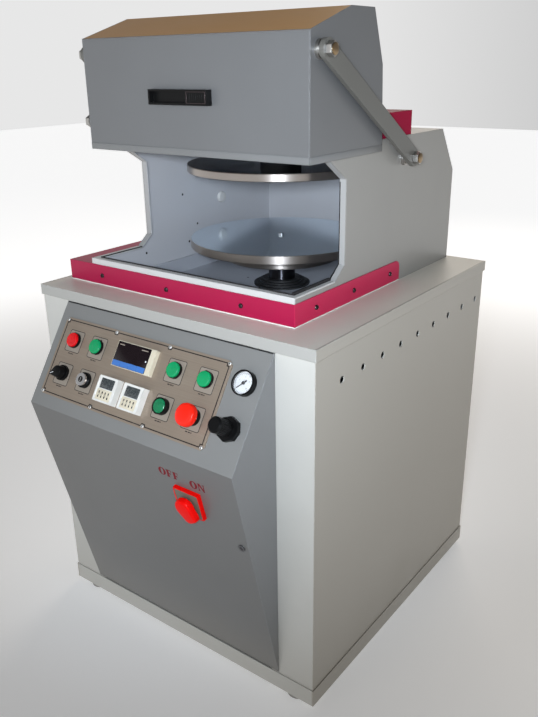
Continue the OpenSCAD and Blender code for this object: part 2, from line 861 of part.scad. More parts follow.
// Ribbed rubber seal round the spindle, stepped like a cone on the tray's floor
module shaft_seal() {
  rib_h = seal_h / seal_ribs;
  rib_in = (seal_d - spindle_d) / (seal_ribs + 1);
  color("black") on_top() translate([0, axis_y, -well]) difference() {
    for (i = [0:seal_ribs - 1]) rod(seal_d - i * rib_in, 0, (i + 1) * rib_h);
    rod(spindle_d + 4 * face_gap, -eps, seal_h + eps);
  }
}

// Finned motor bolted to the hanger by its foot
module motor() {
  boss_h = 8;
  flange_t = 16;
  flange_low = motor_high - boss_h - flange_t;
  fan_h = 40;
  fan_high = motor_low + fan_h;
  fin_t = 3;
  fin_d = motor_d - 4;
  core_d = motor_d - 20;
  foot_up = 70;
  foot_len = 90;
  foot_low = motor_low + foot_up;
  foot_w = 0.6 * motor_d;
  color("steelblue") place() translate([motor_x, axis_y, 0]) difference() {
    union() {
      rod(motor_d, motor_low, fan_high);
      rod(core_d, fan_high - eps, flange_low + eps);
      rod(motor_d, flange_low, flange_low + flange_t);
      rod(motor_shaft_d * 2, flange_low, motor_high);
      for (i = [0:motor_fins - 1]) rotate([0, 0, (i + 0.5) * 360 / motor_fins])
        translate([core_d / 2 - fin_t, -fin_t / 2, fan_high - eps])
          cube([(fin_d - core_d) / 2 + fin_t, fin_t, flange_low - fan_high + 2 * eps]);
      translate([0, -foot_w / 2, foot_low]) cube([hanger_x - motor_x, foot_w, foot_len]);
    }
    rod(motor_shaft_d + 2 * run_gap, motor_high - motor_shaft_len - bore_end, motor_high + eps);
  }
}

// Pulley profile with its groove, between two heights
module pulley_profile(d, low) {
  mid = low + pulley_h / 2;
  root = belt_w / 2 + 1;
  mouth = belt_w / 2 + 3;
  polygon([
    [0, low], [d / 2, low], [d / 2, mid - mouth], [d / 2 - groove, mid - root], [d / 2 - groove, mid + root],
    [d / 2, mid + mouth], [d / 2, low + pulley_h], [0, low + pulley_h]]);
}

// Driving belt round both pulleys
module drive_belt() {
  inner = 2 * face_gap - groove;
  outer = inner + groove - 2;
  color("black") place() translate([0, axis_y, pulley_mid - belt_w / 2]) linear_extrude(belt_w) difference() {
    belt_loop(outer);
    belt_loop(inner);
  }
}

// Loop round both pulleys, set off from their rims
module belt_loop(off) {
  hull() {
    circle(r = big_pulley_d / 2 + off);
    translate([motor_x, 0]) circle(r = small_pulley_d / 2 + off);
  }
}

// Air cylinder with square heads and tie rods, standing on the cabinet's floor
module air_cylinder() {
  tie_d = 10;
  tie_end = 6;
  tie = cyl_head_w / 2 - 0.8 * tie_d;
  color("lightsteelblue") place() translate([0, axis_y, 0]) difference() {
    union() {
      block(cyl_head_w, cyl_head_w, floor_z, cyl_low);
      rod(cyl_d, cyl_low - eps, cyl_high - cyl_head_t + eps);
      block(cyl_head_w, cyl_head_w, cyl_high - cyl_head_t, cyl_high);
      for (x = [-1, 1] * tie, y = [-1, 1] * tie)
        translate([x, y, 0]) rod(tie_d, cyl_low - eps, cyl_high + tie_end);
    }
    rod(rod_d + 2 * run_gap, rod_low - bore_end, cyl_high + eps);
  }
}

// Speed drive on the left panel, with cooling ribs against the panel
module inverter() {
  wall = sheet - panel_x;
  ribs = 8;
  rib_d = inverter[0] / 4;
  pitch = inverter[1] / ribs;
  color("darkslategray") place() translate([wall, axis_y - inverter[1] / 2, cab_h / 2 - inverter[2] / 2]) {
    translate([rib_d, 0, 0]) cube([inverter[0] - rib_d, inverter[1], inverter[2]]);
    for (i = [0:ribs - 1]) translate([0, (i + 0.25) * pitch, 0]) cube([rib_d + eps, pitch / 2, inverter[2]]);
  }
}

// Valve block with two solenoids, on the cabinet's floor
module valve_block() {
  rear_gap = 130;
  coil = [0.3 * valve[0], 0.7 * valve[1], valve[2]];
  color("gray") place() translate([-cab_w / 4 - valve[0] / 2, cab_d - rear_gap, floor_z]) {
    cube(valve);
    for (x = [0.12, 0.58] * valve[0])
      translate([x, (valve[1] - coil[1]) / 2, valve[2] - eps]) cube(coil);
  }
}

// Threaded fitting through the back panel: hexagon outside, flange inside, and a bore
module fitting(side, bore) {
  hex_d = 2 * thread_d(bore) - bore;
  hex_h = 0.6 * inlet_len;
  color("goldenrod") place() at_fitting(side) difference() {
    union() {
      rod(thread_d(bore), -4 * sheet, hex_h);
      translate([0, 0, -sheet]) cylinder(d = hex_d, h = hex_h, $fn = 6);
      rod(thread_d(bore) - hole_play, 0, inlet_len);
      translate([0, 0, -4 * sheet]) cylinder(d = hex_d, h = 2 * sheet, $fn = 6);
    }
    rod(bore, -5 * sheet, inlet_len + eps);
  }
}

module air_inlet() {
  fitting(-1, inlet_d);
}

module cable_gland() {
  fitting(1, gland_d);
}

// Fixed halves of the door's hinges: barrel, pin and the pad on the left stile
module hinge_pins() {
  color("dimgray") place() for (z = hinge_zs) translate([hinge_x, hinge_y, z]) {
    rod(hinge_d, 0, hinge_len);
    rod(hinge_pin_d, 0, hinge_pin_len);
    translate([-hinge_pad / 2, 0, 0]) cube([hinge_pad, front_y - hinge_y, hinge_len]);
  }
}

// Door halves of the hinges: bored barrel and the pad on the door's left side
module door_hinges() {
  color("dimgray") place() for (z = hinge_zs) translate([hinge_x, hinge_y, z]) difference() {
    union() {
      rod(hinge_d, hinge_len + face_gap, 2 * hinge_len);
      translate([0, -hinge_pad / 2, hinge_len + face_gap])
        cube([door_left - hinge_x, hinge_pad, hinge_len - face_gap]);
    }
    rod(hinge_pin_d + 2 * run_gap, hinge_len, hinge_pin_len + 2 * eps);
  }
}

// Flat bar between two pivots at one height of X, with rounded ends and bored eyes
module arm(x, a, b, width, front_gap) {
  side = left(unit(b - a)) * width / 2;
  difference() {
    union() {
      along_x(x, arm_t) polygon([a + side, b + side, b - side, a - side]);
      for (at = [a, b]) pin_x(width, at, x, x + arm_t);
    }
    pin_x(shank_d + 2 * run_gap, a, x - eps, x + arm_t + eps);
    pin_x(shank_d + 2 * front_gap, b, x - eps, x + arm_t + eps);
  }
}

module right_arm() {
  color("silver") on_top() arm(arm_x, house_pin, hood_pin, arm_w, run_gap);
}

module left_arm() {
  color("silver") on_top() mirror([1, 0, 0]) arm(arm_x, house_pin, hood_pin, arm_w, run_gap);
}

module lower_arm() {
  color("silver") on_top() mirror([1, 0, 0])
    arm(arm_x, house_pin + lower_off, hood_pin + lower_off, lower_arm_w, open_gap);
}

// Front of the hood, under the roof's edge
module hood_front() {
  slope = roof_rise / roof_run;
  inner = hood_x - hood_t;
  color("gray") on_top() along_x(-inner, 2 * inner) polygon([
    [hood_y, hood_z], [hood_y + hood_t, hood_z], [hood_y + hood_t, hood_top - hood_t + slope * hood_t],
    [hood_y, hood_top - hood_t]]);
}

// Sloping roof and flat top of the hood, folded from one sheet
module hood_roof() {
  inner = hood_x - hood_t;
  under = shifted(roof_path, [0, -hood_t]);
  color("peru") on_top() along_x(-inner, 2 * inner)
    polygon(concat(roof_path, [for (i = [len(under) - 1:-1:0]) under[i]]));
}

// Right side of the hood with its welded pivots
module hood_side(pins) {
  along_x(hood_x - hood_t, hood_t) polygon(hood_outline);
  for (at = pins) pivot(at, hood_x, arm_x);
}

module hood_side_right() {
  color("gray") on_top() hood_side([hood_pin]);
}

module hood_side_left() {
  color("gray") on_top() mirror([1, 0, 0]) hood_side([hood_pin, hood_pin + lower_off]);
}

// Pull handle: a frame with a finger pocket and the latch paddle's pocket
module hood_handle() {
  pocket_h = pull_h - 2 * pull_wall;
  color("black") on_top() translate([pull_x, hood_y, hood_z + pull_z]) difference() {
    translate([-pull_w / 2, -pull_reach, -pull_h / 2]) cube([pull_w, pull_reach, pull_h]);
    translate([pull_wall - pull_w / 2, -pull_reach - eps, -pocket_h / 2])
      cube([pull_w - latch_w - 3 * pull_wall, pull_reach - pull_back + eps, pocket_h]);
    translate([pull_w / 2 - pull_wall - latch_w, -pull_reach - eps, -pocket_h / 2])
      cube([latch_w, pull_reach - pull_back + eps, pocket_h]);
  }
}

// Latch paddle in the handle's right pocket
module hood_latch() {
  paddle_h = pull_h - 2 * pull_wall - 2 * cap_gap;
  paddle_t = pull_reach - pull_back - latch_press - 2 * cap_gap;
  color("dimgray") on_top()
    translate([pull_x + pull_w / 2 - pull_wall - latch_w + cap_gap, hood_y - pull_reach, hood_z + pull_z])
      translate([0, cap_gap, -paddle_h / 2]) cube([latch_w - 2 * cap_gap, paddle_t, paddle_h]);
}

// Folded sheets of the door: front, closed triangular ends and return edges
module door_sheets() {
  inner = door_w / 2 - door_t;
  along_x(-inner - eps, 2 * (inner + eps)) polygon(band(door_path, door_t));
  for (x = [-inner - door_t, inner]) along_x(x, door_t) polygon(door_path);
  for (x = [-inner - eps, inner - door_return])
    translate([x, door_y - door_t, door_low_z + door_return])
      cube([door_return + eps, door_t, door_top_z - door_low_z - 2 * door_return]);
}

// Door cut clear of the frame, with the holes of its controls
module door_shell() {
  color("darkgray") difference() {
    place() intersection() {
      translate([-door_w / 2, door_y - 2 * door_reach, 0]) cube([door_w, 2 * door_reach, cab_h]);
      door_sheets();
    }
    panel_holes();
    on_upper(gauge_at) rod(gauge_neck_d + hole_play, -cut_depth, eps);
    on_upper(reg_at) rod(reg_neck_d + hole_play, -cut_depth, eps);
    on_lower(switch_at) rod(handle_d + hole_play, -cut_depth, eps);
    on_lower(lock_at) rod(lock_d + hole_play / 2, -cut_depth, eps);
  }
}

// Cut-outs that the control plate and the door share
module panel_holes() {
  inset = 2 * meter_lip - hole_play;
  for (at = round_at) on_upper(at) rod(barrel_d + hole_play / 2, -cut_depth, panel_t + eps);
  on_upper(display_at) block(display_w - inset, display_h - inset, -cut_depth, panel_t + eps);
  for (at = timer_at) on_upper(at) block(timer_w - inset, timer_w - inset, -cut_depth, panel_t + eps);
}

// Control plate with cut corners
module control_plate() {
  w = panel_w / 2;
  h = panel_h / 2;
  c = panel_cut;
  color("rosybrown") difference() {
    on_upper([plate_left + w, panel_top + h]) linear_extrude(panel_t) polygon([
      [c - w, -h], [w - c, -h], [w, c - h], [w, h - c], [w - c, h], [c - w, h], [-w, h - c], [-w, c - h]]);
    panel_holes();
  }
}

// Panel instrument: a bezel in front of the plate and a case behind it
module instrument(w, h, rise) {
  block(w - 2 * meter_lip, h - 2 * meter_lip, panel_t - meter_depth, panel_t + eps);
  block(w, h, panel_t, panel_t + rise);
}

module speed_display() {
  color("ivory") on_upper(display_at) instrument(display_w, display_h, meter_rise);
}

module timers() {
  color("ivory") for (at = timer_at) on_upper(at) instrument(timer_w, timer_w, timer_rise);
}

// Bezel with its barrel, bored for a moving cap
module bezel(h, bore) {
  difference() {
    union() {
      rod(bezel_d, panel_t, panel_t + h);
      rod(barrel_d, panel_t - barrel_len, panel_t + eps);
    }
    rod(bore, panel_t - barrel_len + barrel_end, panel_t + h + eps);
  }
}

// Bezels of all round controls: the wide bore takes the cap and the narrow one its plunger
module button_bezels() {
  color("dimgray") {
    for (at = concat([red_at], [for (i = [0:2]) green_at[i]])) on_upper(at) cap_bezel(bezel_h, cap_d);
    on_upper(green_at[3]) cap_bezel(tall_bezel_h, flush_d);
    on_upper(stop_at) bezel(stop_collar_h, plunger_d + 2 * run_gap);
    for (at = [selector_at, key_at]) on_upper(at) bezel(bezel_h, plunger_d + 2 * run_gap);
  }
}

// Bezel with a wide mouth for a cap
module cap_bezel(h, d) {
  difference() {
    bezel(h, plunger_d + 2 * run_gap);
    rod(d + 2 * cap_gap, panel_t + h - press - cap_sink - eps, panel_t + h + eps);
  }
}

// Push button: a domed cap and the plunger that guides it
module push_button(bezel_top, rise, d) {
  seat = panel_t + bezel_top - cap_sink + cap_gap;
  top = panel_t + bezel_top + rise;
  r = d / 2;
  edge = 1.5;
  rod(plunger_d, panel_t - plunger_len, seat + eps);
  rotate_extrude()
    polygon([[0, seat], [r, seat], [r, top - edge], [r - edge, top - edge / 3], [r / 2, top], [0, top]]);
}

module red_button() {
  color("red") on_upper(red_at) push_button(bezel_h, cap_rise, cap_d);
}

module green_button_1() {
  color("limegreen") on_upper(green_at[0]) push_button(bezel_h, cap_rise, cap_d);
}

module green_button_2() {
  color("limegreen") on_upper(green_at[1]) push_button(bezel_h, cap_rise, cap_d);
}

module green_button_3() {
  color("limegreen") on_upper(green_at[2]) push_button(bezel_h, cap_rise, cap_d);
}

module green_button_4() {
  color("seagreen") on_upper(green_at[3]) push_button(tall_bezel_h, flush_rise, flush_d);
}

// Emergency stop: a mushroom on its plunger
module stop_button() {
  low = panel_t + stop_collar_h + stop_press + 2 * eps;
  high = low + stop_t;
  r = stop_d / 2;
  edge = 4;
  color("orangered") on_upper(stop_at) {
    rod(plunger_d, panel_t - plunger_len, low + eps);
    rotate_extrude() polygon([
      [0, low], [r - edge, low], [r, low + edge], [r, high - edge], [r - edge, high - edge / 3],
      [r / 2, high], [0, high]]);
  }
}

// Selector: a round base with a pointer-shaped grip
module selector_knob() {
  low = panel_t + bezel_h + face_gap;
  disc_t = 5;
  grip_h = 13;
  r = bezel_d / 2 - 2;
  grip = 6;
  rest_turn = 120;
  color("black") on_upper(selector_at) {
    rod(plunger_d, panel_t - plunger_len, low + eps);
    rod(2 * r, low, low + disc_t);
    rotate([0, 0, rest_turn]) translate([0, 0, low + disc_t - 1]) linear_extrude(grip_h)
      polygon([[1 - grip, 2 - r], [grip - 1, 2 - r], [grip, 4], [0, selector_len - r], [-grip, 4]]);
  }
}

// Key switch: a plug with its key slot
module key_switch() {
  low = panel_t + bezel_h + face_gap;
  high = low + 7;
  slot_w = 3;
  color("lightgray") on_upper(key_at) difference() {
    union() {
      rod(plunger_d, panel_t - plunger_len, low + eps);
      rod(bezel_d - 6, low, high);
    }
    block(slot_w, plunger_d * 0.6, low + 2 * eps, high + eps);
  }
}

// Pressure gauge: case with a sunk dial
module gauge_body() {
  color("black") on_upper(gauge_at) difference() {
    union() {
      rod(gauge_d, 0, gauge_h);
      rod(gauge_neck_d, -gauge_back, eps);
    }
    rod(gauge_d - 2 * gauge_rim, gauge_h - gauge_sink, gauge_h + eps);
    rod(arbor_d + 2 * run_gap, gauge_h - gauge_sink - arbor_len - 2 * eps, gauge_h);
  }
}

// Gauge needle on its arbor, pointing down to the left at rest
module gauge_needle() {
  dial = gauge_h - gauge_sink;
  tip = gauge_d / 2 - gauge_rim - 3;
  tail = 0.45 * tip;
  low = dial + 1;
  rest_turn = 135;
  color("black") on_upper(gauge_at) {
    rod(arbor_d, dial - arbor_len, low + 2);
    rod(2 * arbor_d, low, low + 1.5);
    rotate([0, 0, rest_turn]) translate([0, 0, low]) linear_extrude(1)
      polygon([[-1.4, -tail], [1.4, -tail], [1, 0], [0.4, tip], [-0.4, tip], [-1, 0]]);
  }
}

// Air regulator: panel nut, neck and stem outside, body behind the door's face
module regulator_body() {
  nut_h = 9;
  body_len = 70;
  color("black") on_upper(reg_at) {
    cylinder(d = nut_d, h = nut_h, $fn = 8);
    rod(reg_neck_d, -body_len / 2, reg_neck_h);
    rod(reg_stem_d, 0, reg_stem_h);
    rod(nut_d, -body_len, -door_t);
  }
}

// Regulator knob with grip flutes
module regulator_knob() {
  low = reg_neck_h + face_gap;
  flutes = 18;
  flute_d = 3;
  flute_low = low + 6;
  r = reg_d / 2;
  edge = 3;
  color("black") on_upper(reg_at) difference() {
    rotate_extrude() polygon([
      [0, low], [r - 2, low], [r, low + 2], [r, reg_h - edge], [r - edge, reg_h], [0, reg_h]]);
    rod(reg_stem_d + 2 * run_gap, low - eps, reg_stem_h + 2 * eps);
    for (i = [0:flutes - 1]) rotate([0, 0, i * 360 / flutes])
      translate([r + 0.2 * flute_d, 0, 0]) rod(flute_d, flute_low, reg_stem_h);
  }
}

// Main switch: a framed square plate and the switch body behind the door's face
module switch_plate() {
  field = switch_w - 8;
  body_len = 60;
  color("orangered") on_lower(switch_at) difference() {
    union() {
      block(switch_w, switch_w, 0, switch_plate_t);
      rod(handle_d, -body_len, eps);
    }
    block(field, field, switch_plate_t - switch_sink, switch_plate_t + eps);
    rod(switch_stem_d + 2 * run_gap, -switch_stem_len - 2, switch_plate_t);
  }
}

// Main switch handle: a round end that tapers to a blunt pointer
module switch_handle() {
  low = switch_plate_t + 3;
  neck_h = 5;
  half = handle_d / 2;
  tail = 1.9 * half;
  wide = 0.95 * half;
  tip = 0.5 * half;
  color("orangered") on_lower(switch_at) {
    rod(switch_stem_d, -switch_stem_len, low + eps);
    rod(handle_d - 6, low, low + neck_h + eps);
    translate([0, 0, low + neck_h]) linear_extrude(handle_h - low - neck_h) union() {
      circle(d = handle_d);
      polygon([[-wide, half - wide], [wide, half - wide], [tip, -tail], [-tip, -tail]]);
    }
  }
}

// Door lock: flanged plug with its cam behind the door's face
module door_lock() {
  slot_w = 1.6;
  color("dimgray") on_lower(lock_at) difference() {
    union() {
      rod(lock_d, -lock_len, lock_flange - eps);
      rod(lock_d + 4, face_gap, lock_flange);
      translate([-lock_d / 2, -cam_len, -lock_len]) cube([lock_d, cam_len, cam_t]);
    }
    block(slot_w, lock_d * 0.6, lock_flange / 4, lock_flange + eps);
  }
}

// Spindle pulley with the sleeve that turns in the bearing tube
module drive_pulley() {
  color("darkgray") place() translate([0, axis_y, 0]) difference() {
    union() {
      rotate_extrude() pulley_profile(big_pulley_d, pulley_low);
      rod(sleeve_d, pulley_low, sleeve_high);
    }
    rod(spindle_d + 2 * run_gap, pulley_low - eps, sleeve_high + eps);
  }
}

// Spindle that slides in the sleeve and carries the lower plate
module spindle() {
  color("silver") place() translate([0, axis_y, 0]) rod(spindle_d, spindle_low, cab_h + under_low);
}

// Lower mould plate with the hub under it and the centring pin
module lower_plate() {
  r = plate_d / 2;
  rim_low = under_low + under_t;
  color("gainsboro") on_top() translate([0, axis_y, 0]) rotate_extrude() polygon([
    [0, under_low], [under_d / 2, under_low], [under_d / 2, rim_low], [r - 1, rim_low],
    [r, rim_low + 1], [r, plate_top - 1], [r - 1, plate_top], [centre_d / 2, plate_top],
    [centre_d / 2, plate_top + centre_h - 1], [centre_d / 2 - 1, plate_top + centre_h],
    [0, plate_top + centre_h]]);
}

// Piston rod with the thrust pad under the spindle
module cylinder_rod() {
  color("silver") place() translate([0, axis_y, 0]) {
    rod(rod_d, rod_low, spindle_low - pad_t + eps);
    rod(pad_d, spindle_low - pad_t, spindle_low);
  }
}

// Motor pulley with the motor's shaft
module motor_pulley() {
  color("darkgray") place() translate([motor_x, axis_y, 0]) {
    rotate_extrude() pulley_profile(small_pulley_d, pulley_low);
    rod(motor_shaft_d, motor_high - motor_shaft_len, pulley_low + eps);
  }
}

// Upper mould plate with its hollow shaft and the pouring mouth above the bearing
module upper_plate() {
  r = plate_d / 2;
  mouth_low = top_h - wall_t + face_gap;
  mouth_high = mouth_low + cover_h / 2;
  bore = pour_d / 2;
  color("gainsboro") on_top() translate([0, axis_y, 0]) rotate_extrude() polygon([
    [bore, upper_low], [r - 1, upper_low], [r, upper_low + 1], [r, upper_high - 1], [r - 1, upper_high],
    [shaft_d / 2, upper_high], [shaft_d / 2, mouth_low], [mouth_d / 2, mouth_low], [mouth_d / 2, mouth_high],
    [mouth_d / 2 - 3, mouth_high], [bore, mouth_low + 4]]);
}

feet();
base_frame();
side_panel_left();
side_panel_right();
back_panel();
countertop();
housing_left_wall();
housing_right_wall();
housing_shell();
tray();
opening_seal();
skirt();
bearing_cover();
upper_bearing();
drive_frame();
shaft_seal();
motor();
drive_belt();
air_cylinder();
inverter();
valve_block();
air_inlet();
cable_gland();
hinge_pins();
right_arm();
left_arm();
hood_front();
hood_roof();
hood_side_left();
hood_side_right();
hood_handle();
hood_latch();
lower_arm();
door_shell();
door_hinges();
control_plate();
speed_display();
timers();
button_bezels();
gauge_body();
regulator_body();
switch_plate();
red_button();
green_button_1();
green_button_2();
green_button_3();
green_button_4();
stop_button();
selector_knob();
key_switch();
gauge_needle();
regulator_knob();
switch_handle();
door_lock();
drive_pulley();
spindle();
lower_plate();
cylinder_rod();
motor_pulley();
upper_plate();
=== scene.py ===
"""Dresses the spin casting machine: finishes for its solids, and the small pieces that they carry."""

import json
import logging
import math
from dataclasses import dataclass, field, replace
from enum import Enum
from pathlib import Path
from typing import Optional, Sequence, Union

import bmesh
import bpy
from mathutils import Matrix, Vector
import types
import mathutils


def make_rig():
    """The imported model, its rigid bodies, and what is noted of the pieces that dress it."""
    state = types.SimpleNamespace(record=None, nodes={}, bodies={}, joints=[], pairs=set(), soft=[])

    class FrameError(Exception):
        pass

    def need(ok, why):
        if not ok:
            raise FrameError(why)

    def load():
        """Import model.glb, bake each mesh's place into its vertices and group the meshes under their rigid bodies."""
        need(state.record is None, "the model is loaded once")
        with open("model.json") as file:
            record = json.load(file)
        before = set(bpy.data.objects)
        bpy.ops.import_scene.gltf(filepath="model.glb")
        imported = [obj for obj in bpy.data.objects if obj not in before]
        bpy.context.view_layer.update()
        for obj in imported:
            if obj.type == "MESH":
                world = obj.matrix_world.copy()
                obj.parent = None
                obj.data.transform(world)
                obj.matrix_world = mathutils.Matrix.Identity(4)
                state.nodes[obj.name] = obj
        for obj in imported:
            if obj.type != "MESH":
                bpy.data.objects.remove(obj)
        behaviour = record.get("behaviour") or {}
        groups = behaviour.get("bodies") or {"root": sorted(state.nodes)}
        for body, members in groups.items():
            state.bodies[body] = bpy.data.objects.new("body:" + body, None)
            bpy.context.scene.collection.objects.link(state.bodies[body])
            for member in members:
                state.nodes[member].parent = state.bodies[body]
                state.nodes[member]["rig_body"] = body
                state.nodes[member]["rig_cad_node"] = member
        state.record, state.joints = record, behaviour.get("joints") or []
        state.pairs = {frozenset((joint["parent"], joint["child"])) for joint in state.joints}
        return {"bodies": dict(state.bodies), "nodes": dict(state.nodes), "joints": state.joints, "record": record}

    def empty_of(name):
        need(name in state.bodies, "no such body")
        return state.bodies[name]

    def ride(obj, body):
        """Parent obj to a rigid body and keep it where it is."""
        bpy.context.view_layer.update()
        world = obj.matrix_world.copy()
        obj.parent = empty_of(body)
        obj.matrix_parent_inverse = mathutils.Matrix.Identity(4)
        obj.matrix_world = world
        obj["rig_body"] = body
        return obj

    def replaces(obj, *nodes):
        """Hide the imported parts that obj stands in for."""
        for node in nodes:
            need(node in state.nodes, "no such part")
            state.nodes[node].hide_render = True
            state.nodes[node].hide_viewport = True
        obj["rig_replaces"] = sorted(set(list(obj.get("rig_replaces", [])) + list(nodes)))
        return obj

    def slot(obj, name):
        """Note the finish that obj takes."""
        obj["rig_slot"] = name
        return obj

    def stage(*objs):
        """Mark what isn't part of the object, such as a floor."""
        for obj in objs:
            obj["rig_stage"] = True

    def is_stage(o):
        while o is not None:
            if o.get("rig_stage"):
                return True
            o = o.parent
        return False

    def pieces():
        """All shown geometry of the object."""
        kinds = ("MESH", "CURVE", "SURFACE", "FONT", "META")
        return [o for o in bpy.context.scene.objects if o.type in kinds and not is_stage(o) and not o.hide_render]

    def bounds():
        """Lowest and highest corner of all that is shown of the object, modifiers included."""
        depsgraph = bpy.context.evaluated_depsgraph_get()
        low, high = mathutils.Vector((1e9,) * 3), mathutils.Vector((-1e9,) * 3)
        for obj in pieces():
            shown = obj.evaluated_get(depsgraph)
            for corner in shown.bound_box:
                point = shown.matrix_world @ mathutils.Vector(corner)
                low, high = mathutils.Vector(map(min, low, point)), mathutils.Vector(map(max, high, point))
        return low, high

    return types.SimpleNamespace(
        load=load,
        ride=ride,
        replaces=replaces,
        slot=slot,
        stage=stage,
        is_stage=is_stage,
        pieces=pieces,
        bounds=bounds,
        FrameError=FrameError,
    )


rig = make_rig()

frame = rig.load()
CAD_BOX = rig.bounds()

log = logging.getLogger("casting_machine")
Point2 = tuple[float, float]
Point3 = tuple[float, float, float]
Colour = tuple[float, float, float]
MM = 0.001
# Distance in Y from the cabinet's front edge to the model's origin
ORIGIN_Y = 283.717
# Height of the countertop
TOP_Z = 728.0
# Distance of the spindle's axis behind the cabinet's front edge
AXIS_Y = 372.0
# Limits of the casting housing's inside: half width, front, back and top
INNER_X = 246.5
INNER_FRONT = 226.0
INNER_Y = 656.5
INNER_Z = TOP_Z + 278.5
# Just behind the hood's front edge
HOOD_FRONT = 102.0
# Lean of the door's upper face, which carries the control plate
PANEL_LEAN = 56.385
# Share of a normal past which a face looks along that axis
SQUARE_ON = 0.5


def srgb(red: int, green: int, blue: int) -> Colour:
    """Turns an 8-bit screen colour into linear light.

    Args:
        red: Red from 0 to 255.
        green: Green from 0 to 255.
        blue: Blue from 0 to 255.

    Returns:
        The linear colour.
    """
    def linear(value: int) -> float:
        """Linear light of one channel."""
        c = value / 255
        return c / 12.92 if c <= 0.04045 else ((c + 0.055) / 1.055) ** 2.4
    return linear(red), linear(green), linear(blue)


DUST = srgb(150, 140, 122)
BARE_METAL = srgb(182, 180, 176)


def tinted(colour: Colour, factor: float, lift: float = 0.0) -> Colour:
    """Colour with its light times a factor and some light added, up to white."""
    return tuple(min(1.0, channel * factor + lift) for channel in colour)


class Socket:
    """An output socket that takes part in arithmetic: each operation adds a Math node."""

    def __init__(self, graph: "Graph", raw: bpy.types.NodeSocket) -> None:
        """Wraps a socket of a graph."""
        self.graph = graph
        self.raw = raw

    def _math(self, operation: str, *values: "Value") -> "Socket":
        """Adds one Math node."""
        return self.graph.node("ShaderNodeMath", {"operation": operation}, dict(enumerate(values)))

    def __add__(self, other: "Value") -> "Socket":
        """Sum."""
        return self._math("ADD", self, other)

    def __sub__(self, other: "Value") -> "Socket":
        """Difference."""
        return self._math("SUBTRACT", self, other)

    def __rsub__(self, other: "Value") -> "Socket":
        """Difference from a number on the left."""
        return self._math("SUBTRACT", other, self)

    def __mul__(self, other: "Value") -> "Socket":
        """Product."""
        return self._math("MULTIPLY", self, other)

    def __pow__(self, power: "Value") -> "Socket":
        """Power."""
        return self._math("POWER", self, power)

    def __abs__(self) -> "Socket":
        """Absolute value."""
        return self._math("ABSOLUTE", self)

    def __or__(self, other: "Socket") -> "Socket":
        """One where either of two masks is one."""
        return self._math("MAXIMUM", self, other)

    __radd__ = __add__
    __rmul__ = __mul__

    def over(self, edge: "Value") -> "Socket":
        """One where the value is above an edge, zero elsewhere."""
        return self._math("GREATER_THAN", self, edge)

    def ramp(self, low: float, high: float) -> "Socket":
        """Smooth step from zero at low to one at high."""
        return self.graph.node("ShaderNodeMapRange", {"interpolation_type": "SMOOTHSTEP", "clamp": True},
                               {"Value": self, "From Min": low, "From Max": high})

    def fade(self, low: float, high: float, start: float, end: float) -> "Socket":
        """Straight change from start, at low, to end, at high."""
        return self.graph.node("ShaderNodeMapRange", None, {
            "Value": self, "From Min": low, "From Max": high, "To Min": start, "To Max": end})


Value = Union[Socket, float]


